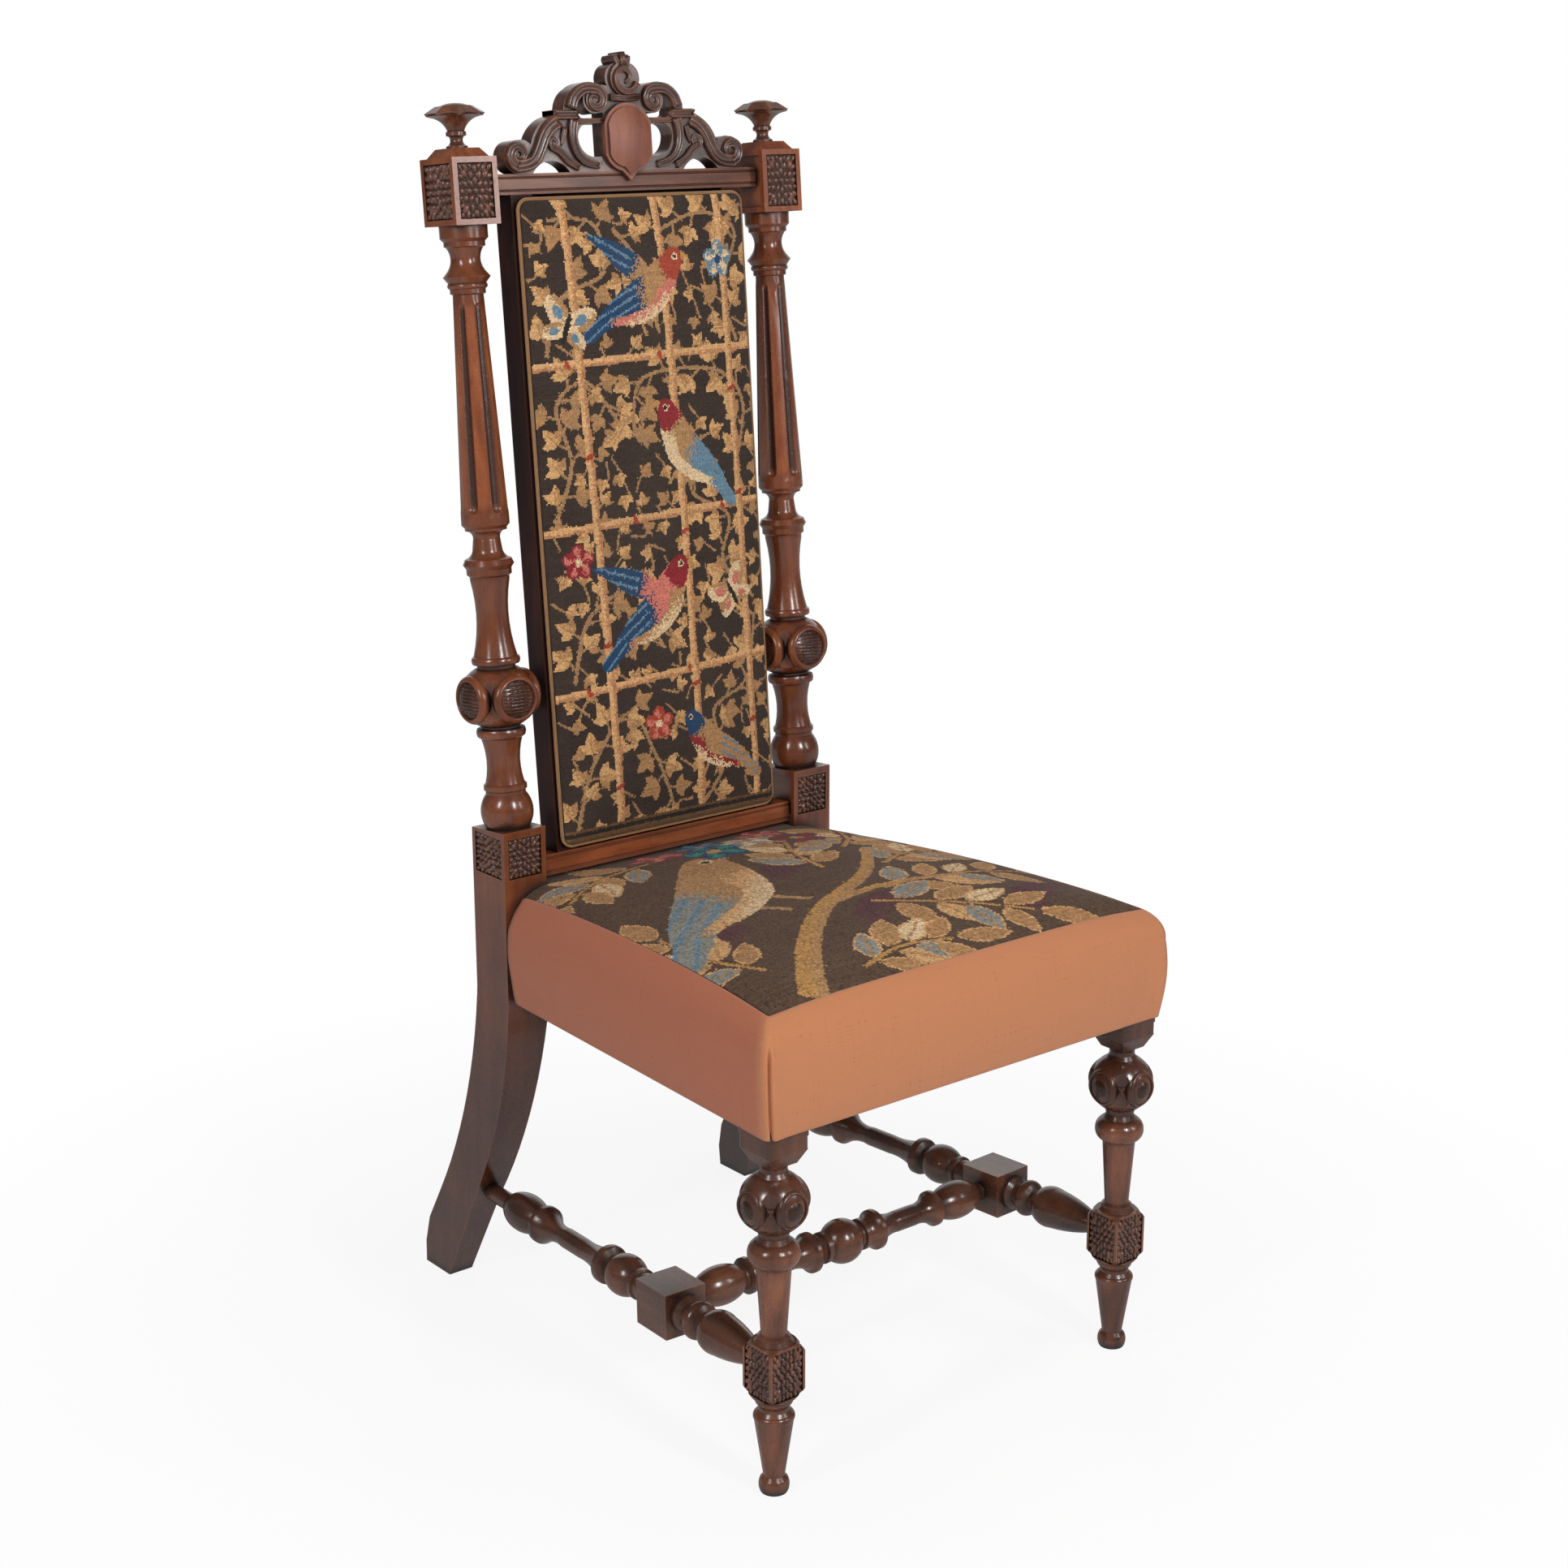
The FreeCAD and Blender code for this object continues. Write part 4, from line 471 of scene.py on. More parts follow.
def needlework(name):
    """Wool stitches: each stitch has its colour in the attribute stitch_colour, one UV unit to a stitch."""
    material, tree, shader, place = shader_tree(name)
    yarn = add(tree, "ShaderNodeAttribute", attribute_name="stitch_colour")
    stitch = use(tree, STITCH, {"Vector": place.outputs["UV"]})
    age = use(tree, AGE, {"Vector": place.outputs["Object"], "Scale": 16.0})
    # Painted shade: each stitch is darkened towards its edges and varied by fuzz.
    shade = mapped(tree, stitch.outputs["Shade"], 0.05, 0.55, 0.62, 1.12)
    colour = mix(tree, 1.0, yarn.outputs["Color"], shade, "MULTIPLY")
    worn = math_node(tree, "MULTIPLY", age.outputs["Rubbed"], 0.08)
    colour = mix(tree, worn, colour, srgb(120, 104, 84))
    wire(tree, shader, {"Base Color": colour, "Roughness": 0.95, "Sheen Weight": 0.04})
    raise_surface(tree, shader, stitch.outputs["Height"], 0.55, 0.0007)
    return material


steel = metal("drawn_steel", srgb(170, 170, 174), srgb(96, 92, 88), 0.35)
brass = metal("aged_brass", srgb(196, 158, 88), srgb(104, 78, 42), 0.32)
# Its sides are tinted redder as less faded dye and darker as painted shade.
border_cloth = cloth("border_cloth", srgb(132, 72, 46), srgb(200, 130, 88), 900.0, 1.3, 0.15, 0.0004,
                     (0.656, 0.235, (0.86, 0.70, 0.80)))
lining_cloth = cloth("lining_cloth", srgb(58, 42, 33), srgb(104, 80, 62), 900.0, 0.9, 0.10, 0.0003)
braid_yarn = cloth("braid_yarn", srgb(104, 76, 50), srgb(158, 118, 80), 1600.0, 0.6, 0.15, 0.0002)
back_wool = needlework("back_wool")
seat_wool = needlework("seat_wool")


# Needlework charts

GROUND = srgb(56, 43, 37)
SEAT_GROUND = srgb(88, 65, 49)
TAN = srgb(210, 162, 108)
OLIVE_TAN = srgb(176, 130, 84)
CANE = srgb(216, 166, 114)
CANE_SHADE = srgb(184, 128, 86)
VINE = srgb(166, 126, 86)
TIE_RED = srgb(168, 66, 46)
DEEP_RED = srgb(142, 36, 44)
ROSE = srgb(206, 118, 102)
CREAM = srgb(226, 194, 152)
BLUE = srgb(28, 66, 102)
PALE_BLUE = srgb(104, 134, 152)
GREY_BLUE = srgb(138, 138, 130)
FAWN = srgb(178, 134, 88)
OCHRE = srgb(186, 138, 78)
PLUM = srgb(88, 50, 54)
TEAL = srgb(46, 132, 116)
DARK = srgb(34, 26, 24)
BAND_BROWN = srgb(104, 76, 46)


def smooth_path(points, steps=7):
    """A smooth line through the points."""
    p = np.array([points[0]] + list(points) + [points[-1]], float)
    line = []
    for a, b, c, d in zip(p[:-3], p[1:-2], p[2:-1], p[3:]):
        for t in np.arange(steps) / steps:
            line.append(0.5 * (2 * b + (c - a) * t + (2 * a - 5 * b + 4 * c - d) * t ** 2
                               + (3 * b - a - 3 * c + d) * t ** 3))
    return np.array(line + [p[-1]])


def way(angle):
    """A step of one unit in a direction in degrees."""
    return np.array([math.cos(math.radians(angle)), math.sin(math.radians(angle))])


def heading(line, i):
    """Direction of a line at one of its points, in degrees."""
    return math.degrees(math.atan2(*(line[i + 1] - line[i])[::-1]))


def walked(lengths):
    """How far each point of a line lies from its start."""
    return np.concatenate([[0], np.cumsum(lengths)])


# Shapes of a songbird in hundredths of its length
BIRD_OUTLINE = ((50, 25), (44, 29), (37, 33), (28, 30), (12, 21), (-12, 7), (-36, -9), (-51, -19),
                (-46, -26), (-24, -17), (-2, -18), (20, -11), (34, 5), (41, 18), (45, 23))
BIRD_WING = ((22, 13), (10, 17), (-12, 8), (-36, -8), (-26, -11), (-2, -9), (14, -3))
BIRD_RAISED_WING = ((16, 15), (6, 30), (-14, 42), (-38, 50), (-26, 36), (-14, 22), (0, 12))


class Chart:
    """Colours of a needlework, one to a stitch, painted with simple shapes in millimetres."""

    def __init__(self, x, y, ground, seed):
        self.x, self.y = x, y
        self.noise = np.random.default_rng(seed)
        self.grain = self.noise.uniform(-1, 1, x.shape)
        self.ground = np.array(ground)
        self.colour = np.ones(x.shape + (3,)) * self.ground

    def lay(self, mask, colour):
        self.colour[mask] = colour

    def seen_from(self, place, angle, facing=1):
        """Stitch places measured from a point along a direction in degrees."""
        dx, dy = (self.x - place[0]) * facing, self.y - place[1]
        cos, sin = way(angle)
        return dx * cos + dy * sin, dy * cos - dx * sin

    def stroke(self, points, start_width, end_width, colour, shade=None):
        """A line through points whose width changes from end to end, shaded along one side."""
        line = smooth_path(points)
        widths = np.linspace(start_width, end_width, len(line))
        for a, b, width in zip(line[:-1], line[1:], widths):
            run = b - a
            length = max(np.hypot(*run), 1e-6)
            along = ((self.x - a[0]) * run[0] + (self.y - a[1]) * run[1]) / length
            side = ((self.y - a[1]) * run[0] - (self.x - a[0]) * run[1]) / length
            near = (along > -0.7) & (along < length + 0.7) & (np.abs(side) < width / 2)
            self.lay(near, colour)
            if shade is not None:
                self.lay(near & (side + 0.2 * width * self.grain < -0.12 * width), shade)

    def oval(self, place, reach, width, angle, colour, shade=None):
        u, v = self.seen_from(place, angle)
        inside = (u / reach) ** 2 + (v / width) ** 2 < 1
        self.lay(inside, colour)
        if shade is not None:
            self.lay(inside & (v / width + 0.4 * self.grain < -0.25), shade)
        return inside

    def outline(self, u, v, points):
        """Stitches inside a smooth closed outline."""
        line = smooth_path(list(points) + [points[0]], 5)
        inside = np.zeros(u.shape, bool)
        for (u0, v0), (u1, v1) in zip(line[:-1], line[1:]):
            crossed = (v0 > v) != (v1 > v)
            inside ^= crossed & (u < (u1 - u0) * (v - v0) / (v1 - v0 + 1e-9) + u0)
        return inside

    def ivy(self, place, size, angle, colour, shade):
        """Three-lobed leaf with a darker half and midrib."""
        leaf = np.zeros(self.x.shape, bool)
        for turn, share in ((0, 1.0), (62, 0.78), (-62, 0.78)):
            u, v = self.seen_from(place, angle + turn)
            along = np.clip((u + 0.12 * size) / (size * share + 0.12 * size), 0, 1)
            leaf |= np.abs(v) < 0.31 * size * share * np.sin(np.pi * along ** 0.8)
        u, v = self.seen_from(place, angle)
        self.lay(leaf, colour)
        self.lay(leaf & (v + 0.15 * size * self.grain < -0.16 * size), shade)
        self.lay(leaf & (np.abs(v) < 0.9) & (u < 0.6 * size), shade)

    def leaf_colours(self):
        return (TAN, OLIVE_TAN) if self.noise.random() < 0.68 else (OLIVE_TAN, VINE)

    def vine(self, points, size, spacing):
        """A winding stem with ivy leaves to either side."""
        line = smooth_path(points, 12)
        self.stroke(points, 4.2, 3.2, VINE)
        along = walked(np.hypot(*np.diff(line, axis=0).T))
        side = 1
        for target in np.arange(0.6 * spacing, along[-1], spacing):
            i = min(int(np.searchsorted(along, target)), len(line) - 2)
            angle = heading(line, i) + side * self.noise.uniform(38, 74)
            reach = size * self.noise.uniform(0.55, 0.85)
            tip = line[i] + reach * way(angle)
            self.stroke([line[i], tip], 2.8, 2.4, VINE)
            turn = angle + self.noise.uniform(-25, 25)
            self.ivy(tip, size * self.noise.uniform(0.82, 1.12), turn, *self.leaf_colours())
            side = -side

    def fill_gaps(self, spacing, size):
        """Loose leaves and tendrils wherever the ground still shows in a wide patch."""
        for y in np.arange(self.y.min() + 0.6 * spacing, self.y.max(), spacing):
            for x in np.arange(self.x.min() + 0.6 * spacing, self.x.max(), spacing):
                spot = np.array([x, y]) + self.noise.uniform(-0.25, 0.25, 2) * spacing
                near = np.hypot(self.x - spot[0], self.y - spot[1]) < 0.62 * size
                bare = np.abs(self.colour[near] - self.ground).sum(-1) < 1e-6
                if bare.size and bare.mean() > 0.9:
                    angle = self.noise.uniform(0, 360)
                    bend = spot - 0.5 * way(angle)[::-1] * size
                    self.stroke([spot - way(angle) * size * 1.3, bend, spot], 2.2, 2.4, VINE)
                    self.ivy(spot, size * self.noise.uniform(0.8, 1.0), angle, *self.leaf_colours())

    def cane(self, points, width, ties):
        """A jointed cane with red ties at the given shares of its length."""
        self.stroke(points, width, width, CANE, CANE_SHADE)
        line = smooth_path(points, 20)
        for share in ties:
            i = int(share * (len(line) - 2))
            self.oval(line[i], 2.4, width * 0.62, heading(line, i) + 20, TIE_RED)

    def bird(self, place, length, facing, lean, back, breast, head, wing, raised=False):
        """A songbird from the side, perched or with a raised wing; its colours blend where they meet."""
        u, v = self.seen_from(place, lean, facing)
        u, v = u * 100 / length, v * 100 / length
        for foot in (-4, 8):
            self.lay((np.abs(u - foot + 0.3 * v) < 1.4) & (v < -10) & (v > -27), FAWN)
        whole = self.outline(u, v, BIRD_OUTLINE)
        soft = 5 * self.grain
        if raised:
            raised_wing = self.outline(u, v, BIRD_RAISED_WING)
            self.feathers(raised_wing, 0.84 * u - 0.54 * v, 0.54 * u + 0.84 * v, soft, -12, back, wing)
        self.lay(whole, back)
        self.lay(whole & (v + soft < 0.42 * u - 1), breast)
        self.lay(whole & (v + soft < 0.42 * u - 12), CREAM)
        tail = whole & (u + soft < -24)
        self.lay(tail, wing)
        self.lay(tail & (np.abs(np.mod(v - 0.6 * u, 8) - 4) < 0.9), PALE_BLUE)
        self.lay(whole & (np.hypot(u - 35, v - 23) + 0.5 * soft < 13), head)
        self.lay(whole & (u > 43), OCHRE)
        self.lay(np.hypot(u - 37, v - 26) < 2.6, CREAM)
        self.lay(np.hypot(u - 37, v - 26) < 1.5, DARK)
        self.feathers(self.outline(u, v, BIRD_WING), u, v - 0.36 * u, soft, 4, back, wing)

    def feathers(self, mask, along, across, soft, shoulder, back, wing):
        """A wing with a soft shoulder and pale lines along its feathers."""
        self.lay(mask, wing)
        self.lay(mask & (along + soft > shoulder), back)
        lines = np.abs(np.mod(across, 6.5) - 3.2) + 0.12 * soft < 0.9
        self.lay(mask & (along < shoulder - 4) & lines, PALE_BLUE)

    def butterfly(self, place, size, angle, colour, spot):
        for turn, share in ((48, 1.0), (-48, 1.0), (118, 0.75), (-118, 0.75)):
            wing = np.array(place) + 0.5 * size * share * way(angle + turn)
            self.oval(wing, 0.52 * size * share, 0.3 * size * share, angle + turn, colour, FAWN)
            self.oval(wing, 0.2 * size * share, 0.14 * size * share, angle + turn, spot)
        self.oval(place, 0.42 * size, 0.08 * size, angle, DARK)

    def flower(self, place, size, colour, shade, heart):
        for turn in range(18, 378, 72):
            petal = np.array(place) + 0.5 * size * way(turn)
            self.oval(petal, 0.5 * size, 0.4 * size, turn, shade)
            self.oval(petal, 0.38 * size, 0.3 * size, turn, colour, shade)
        self.oval(place, 0.22 * size, 0.22 * size, 0, heart)

    def leaf(self, place, length, angle, fill):
        """A pointed leaf with an outline and a midrib."""
        u, v = self.seen_from(place, angle)
        u = u - 0.12 * length
        half = 0.25 * length * np.sin(np.pi * np.clip(u / length, 0, 1) ** 0.85) ** 0.8
        leaf = (u > 0) & (u < length) & (np.abs(v) < half)
        self.lay(leaf, TAN)
        self.lay(leaf & (np.abs(v) + 1.2 * self.grain < half - 2.4), fill)
        self.lay(leaf & (np.abs(v) < 1.2) & (u < 0.85 * length), OLIVE_TAN)

    def spray(self, points, pairs, length, fills):
        """Leaves in pairs along a curved stem, with one at its tip."""
        line = smooth_path(points, 12)
        self.stroke(points, 5, 3.6, OCHRE)
        for i in range(pairs + 1):
            at = int((0.2 + 0.8 * i / pairs) * (len(line) - 2))
            for side in (1, -1) if i < pairs else (0,):
                turn = heading(line, at) + side * self.noise.uniform(38, 60)
                fill = fills[(i + side) % len(fills)]
                self.leaf(line[at], length * self.noise.uniform(0.85, 1.15), turn, fill)

    def yarn(self, unevenness):
        """The finished colours: edges ragged by the stitches, each length of wool a little different."""
        rows, columns = self.x.shape
        i, j = np.meshgrid(np.arange(rows), np.arange(columns), indexing="ij")
        strays = self.noise.random(self.x.shape) < 0.14
        i = np.clip(i + strays * self.noise.integers(-1, 2, self.x.shape), 0, rows - 1)
        j = np.clip(j + strays * self.noise.integers(-1, 2, self.x.shape), 0, columns - 1)
        stitch = self.noise.normal(1.0, unevenness, self.x.shape)
        row = self.noise.normal(1.0, 0.05, (rows, 1))
        return np.clip(self.colour[i, j] * (stitch * row)[..., None], 0, 1)


def back_chart(x, y, height):
    """Ivy on a cane trellis with songbirds, butterflies and blossoms."""
    chart = Chart(x, y, GROUND, 7)
    for points in ([(-112, 8), (-92, 70), (-48, 116), (-20, 70), (0, 20)],
                   [(30, 6), (62, 52), (52, 104), (96, 128), (112, 190)],
                   [(-104, 150), (-84, 210), (-30, 232), (-6, 190), (26, 214)],
                   [(112, 206), (74, 244), (84, 288), (40, 316), (56, 366)],
                   [(-112, 300), (-92, 352), (-104, 404), (-70, 424), (-30, 372)],
                   [(96, 330), (112, 392), (78, 426), (-8, 424), (-22, 372)],
                   [(-110, 450), (-92, 500), (-44, 522), (-52, 566), (-100, 570)],
                   [(108, 452), (92, 502), (112, 552), (72, 572), (20, 556)],
                   [(-30, 560), (-8, 530), (-26, 498)]):
        chart.vine(points, 19, 15)
    chart.fill_gaps(23, 14)
    for y0, y1, ties in ((138, 152, (0.2, 0.62)), (290, 300, (0.42, 0.8)), (440, 446, (0.18, 0.58))):
        chart.cane([(-124, y0), (0, (y0 + y1) / 2 + 1), (124, y1)], 7.5, ties)
    for low_x, high_x, ties in ((-62, -84, (0.12, 0.34, 0.62)), (34, 20, (0.28, 0.5, 0.83)),
                                (102, 92, (0.2, 0.55, 0.7))):
        chart.cane([(low_x, 8), ((low_x + high_x) / 2 + 3, height / 2), (high_x, height)], 8.5, ties)
    chart.bird((-8, 496), 128, 1, 4, FAWN, ROSE, TIE_RED, BLUE, True)
    chart.bird((46, 348), 124, -1, 22, FAWN, CREAM, DEEP_RED, PALE_BLUE)
    chart.bird((-16, 204), 130, 1, 14, ROSE, FAWN, DEEP_RED, BLUE, True)
    chart.bird((58, 66), 108, -1, 10, FAWN, DEEP_RED, BLUE, OLIVE_TAN)
    chart.butterfly((-88, 474), 34, 70, CREAM, PALE_BLUE)
    chart.butterfly((84, 212), 32, 120, CREAM, ROSE)
    chart.flower((-92, 262), 17, ROSE, DEEP_RED, CREAM)
    chart.flower((88, 528), 18, CREAM, PALE_BLUE, BLUE)
    chart.flower((-14, 100), 17, ROSE, TIE_RED, CREAM)
    chart.lay(y < 12, BAND_BROWN)
    chart.lay((y < 9) & (y > 6), DARK)
    return chart.yarn(0.15)


def seat_chart(x, y):
    """A flowering branch with leaf sprays and one large bird; y runs back from the front seam."""
    chart = Chart(x, y, SEAT_GROUND, 11)
    for spot, reach in (((10, 110), 46), ((30, 262), 52), ((-160, 130), 46), ((150, 60), 46),
                        ((130, 320), 52)):
        chart.oval(spot, reach, 0.6 * reach, 30, PLUM, SEAT_GROUND)
    for points in ([(40, 150), (112, 150), (190, 138)], [(6, 128), (64, 84), (116, 34)],
                   [(96, 214), (140, 236), (180, 236)], [(40, 236), (52, 290), (76, 334)],
                   [(-170, 60), (-186, 120), (-184, 190)], [(-60, 372), (-120, 366), (-172, 338)],
                   [(-96, 20), (-40, 36), (10, 26)], [(108, 286), (142, 320), (166, 366)]):
        chart.spray(points, 4, 54, (TAN, GREY_BLUE, FAWN, CREAM, OLIVE_TAN))
    chart.stroke([(-166, 2), (-112, 74), (-40, 140), (56, 196), (120, 268)], 26, 9, OCHRE, FAWN)
    chart.stroke([(-30, 146), (40, 156), (130, 146)], 12, 7, OCHRE, FAWN)
    chart.bird((-100, 222), 280, 1, 20, FAWN, TAN, OLIVE_TAN, GREY_BLUE)
    for spot, size, colour, shade in (((6, 356), 34, TEAL, BLUE), ((58, 374), 32, CREAM, GREY_BLUE),
                                      ((-36, 392), 30, ROSE, DEEP_RED), ((104, 352), 30, DEEP_RED, PLUM),
                                      ((24, 404), 26, PALE_BLUE, BLUE), ((96, 402), 26, ROSE, DEEP_RED)):
        chart.flower(spot, size, colour, shade, OCHRE)
    return chart.yarn(0.2)


# Stuffed and stretched pieces

PRESS_STEPS = 20
PRESS = {"quality": 6, "mass": 0.25, "tension_stiffness": 20, "compression_stiffness": 20,
         "bending_stiffness": 1.5, "use_pressure": True, "uniform_pressure_force": 4.0,
         "vertex_group_mass": "held"}


def stuffed(level, pinned, cap):
    """How a sheet held at its pinned points moves when its stuffing presses it out, no further than cap."""
    rows, columns = level.shape[0] - 1, level.shape[1] - 1
    trial = mesh_object("stuffing_trial", level, grid_faces(columns, rows))
    held = trial.vertex_groups.new(name="held")
    held.add(np.flatnonzero(pinned).tolist(), 1.0, "REPLACE")
    press = trial.modifiers.new("press", "CLOTH")
    for key, value in PRESS.items():
        setattr(press.settings, key, value)
    press.settings.effector_weights.gravity = 0.0
    press.point_cache.frame_start = 1
    press.point_cache.frame_end = PRESS_STEPS
    for step in range(PRESS_STEPS):
        scene.frame_set(step + 1)
    shown = trial.evaluated_get(bpy.context.evaluated_depsgraph_get())
    travel = np.array([v.co for v in shown.data.vertices]).reshape(level.shape) - level
    bpy.data.objects.remove(trial)
    scene.frame_set(1)
    reach = np.maximum(np.linalg.norm(travel, axis=-1, keepdims=True), 1e-9)
    return travel * np.tanh(reach / cap) * cap / reach


def spread_over(coarse, rows, columns):
    """A coarse field laid smoothly over a finer grid of points."""
    down = np.linspace(0, coarse.shape[0] - 1.001, rows + 1)
    across = np.linspace(0, coarse.shape[1] - 1.001, columns + 1)
    i, j = down.astype(int)[:, None], across.astype(int)[None, :]
    a, b = (down % 1)[:, None, None], (across % 1)[None, :, None]
    a, b = a * a * (3 - 2 * a), b * b * (3 - 2 * b)
    near = coarse[i, j] * (1 - b) + coarse[i, j + 1] * b
    far = coarse[i + 1, j] * (1 - b) + coarse[i + 1, j + 1] * b
    return near * (1 - a) + far * a


def rim_of(shape):
    """True along the border of a grid of points."""
    mask = np.zeros(shape[:2], bool)
    mask[[0, -1], :] = True
    mask[:, [0, -1]] = True
    return mask


def set_uv(made, places):
    """A UV map from one (u, v) per vertex."""
    layer = made.data.uv_layers.new(name="cloth")
    index = np.zeros(len(made.data.loops), int)
    made.data.loops.foreach_get("vertex_index", index)
    layer.data.foreach_set("uv", np.asarray(places, float).reshape(-1, 2)[index].ravel())


def stitched(made, colours, columns, rows):
    """One UV unit and one colour to each stitch of the grid; the turned-under rest takes the ground."""
    mesh = made.data
    across, up = np.meshgrid(np.arange(columns + 1), np.arange(rows + 1))
    places = np.full((len(mesh.vertices), 2), 0.5)
    places[:across.size] = np.stack([across, up], -1).reshape(-1, 2)
    set_uv(made, places)
    size = np.zeros(len(mesh.polygons), int)
    mesh.polygons.foreach_get("loop_total", size)
    shade = np.ones((len(size), 4))
    shade[:, :3] = GROUND
    shade[:columns * rows, :3] = colours.reshape(-1, 3)
    layer = mesh.color_attributes.new("stitch_colour", "FLOAT_COLOR", "CORNER")
    layer.data.foreach_set("color", np.repeat(shade, size, 0).ravel())


def middles(points):
    """Middle of each face of a grid of points."""
    return (points[:-1, :-1] + points[1:, :-1] + points[:-1, 1:] + points[1:, 1:]) / 4


PANEL_COLUMNS = 180
PANEL_ROWS = 426
PANEL_CORNER = 9 * MM
PANEL_BASE_V = BACK_FACE_V - 4 * MM
PANEL_CROWN = 8 * MM
PANEL_EDGE = 2 * MM
PANEL_ROLL = 13 * MM


def panel_grid(columns, rows):
    """Front of the stuffed back as a grid in the back's own frame, with rounded corners."""
    x, s = np.meshgrid(np.linspace(-PANEL_HALF, PANEL_HALF, columns + 1),
                       np.linspace(PANEL_LOW_S, PANEL_HIGH_S, rows + 1))
    middle = (PANEL_LOW_S + PANEL_HIGH_S) / 2
    half = (PANEL_HIGH_S - PANEL_LOW_S) / 2
    inner_x = np.clip(x, PANEL_CORNER - PANEL_HALF, PANEL_HALF - PANEL_CORNER)
    inner_s = np.clip(s, middle - half + PANEL_CORNER, middle + half - PANEL_CORNER)
    past = np.hypot(x - inner_x, s - inner_s)
    pull = np.where(past > PANEL_CORNER, PANEL_CORNER / np.maximum(past, 1e-9), 1.0)
    x, s = inner_x + (x - inner_x) * pull, inner_s + (s - inner_s) * pull
    inward = np.minimum(PANEL_HALF - np.abs(x), half - np.abs(s - middle))
    rise = PANEL_EDGE + (PANEL_CROWN - PANEL_EDGE) * (1 - np.exp(-inward / PANEL_ROLL))
    return np.stack([x, PANEL_BASE_V - rise, s], -1)


def back_panel():
    """Stuffed back with its needlework cover."""
    coarse = panel_grid(24, 56)
    travel = stuffed(coarse, rim_of(coarse.shape), 2.5 * MM)
    fine = panel_grid(PANEL_COLUMNS, PANEL_ROWS)
    places = middles(fine) / MM
    colours = back_chart(places[..., 0], places[..., 2] - PANEL_LOW_S / MM,
                         (PANEL_HIGH_S - PANEL_LOW_S) / MM)
    fine = fine + spread_over(travel, PANEL_ROWS, PANEL_COLUMNS)
    made = mesh_object("needlework_back", fine, grid_faces(PANEL_COLUMNS, PANEL_ROWS))
    closed(made, lambda place: Vector((place.x, PANEL_BASE_V, place.z)))
    stitched(made, colours, PANEL_COLUMNS, PANEL_ROWS)
    place_all(made, raked)
    finish_piece(made, back_wool, ("back_needlework_cover", "back_stuffing"))


def place_all(made, placing):
    """Moves every vertex by a placing function of the frame."""
    places = np.array([v.co for v in made.data.vertices])
    made.data.vertices.foreach_set("co", placing(places).ravel())
    made.data.update()


SEAT_COLUMNS = 206
SEAT_ROWS = 216
SEAM_DRAW = 14 * MM
SIDE_SEAM_LIFT = 9 * MM
FRONT_SEAM_LIFT = 5.5 * MM
SEAT_END_Y = 178 * MM
SEAT_RIM_Z = 399 * MM
TONGUE_TOP_Z = 438.5 * MM
TONGUE_FALL_Y = (84 * MM, 150 * MM)
CROWN_FALL = 17 * MM
CROWN_REACH = 200 * MM
SEAM_DIP = 5.3 * MM
SEAM_DIP_REACH = 11 * MM
SEAM_LIFT_REACH = 60 * MM
SEAT_CORNER_BLEND = 7 * MM
SEAT_END_ROLL = 16 * MM
SEAT_END_DROP = 14 * MM


def seat_half(y, grow):
    """Half the seat's width at a depth, in plan, drawn in or let out by grow."""
    share = (y - SEAT_FRONT_Y) / (SEAT_REAR_Y - SEAT_FRONT_Y)
    return SEAT_FRONT_HALF + (SEAT_REAR_HALF - SEAT_FRONT_HALF) * share + grow


def eased(value, start, end):
    share = np.clip((value - start) / (end - start), 0, 1)
    return share * share * (3 - 2 * share)


def seam_lift(x, y):
    """How far the stuffing lifts the seam above its corners; inside it, the lift of the nearest part."""
    to_front = np.maximum(y - SEAT_FRONT_Y - SEAM_DRAW, 0)
    to_side = np.maximum(seat_half(y, -SEAM_DRAW) - np.abs(x), 0)
    depth = np.clip(to_front / (SEAT_REAR_Y - SEAT_FRONT_Y - SEAM_DRAW), 0, 1)
    side = SIDE_SEAM_LIFT * np.sin(np.pi * depth) ** 0.7
    front = FRONT_SEAM_LIFT * (1 - np.exp(-to_side / (45 * MM)))
    near_side, near_front = np.exp(-to_side / (15 * MM)) + 1e-9, np.exp(-to_front / (15 * MM)) + 1e-9
    return (side * near_side + front * near_front) / (near_side + near_front)


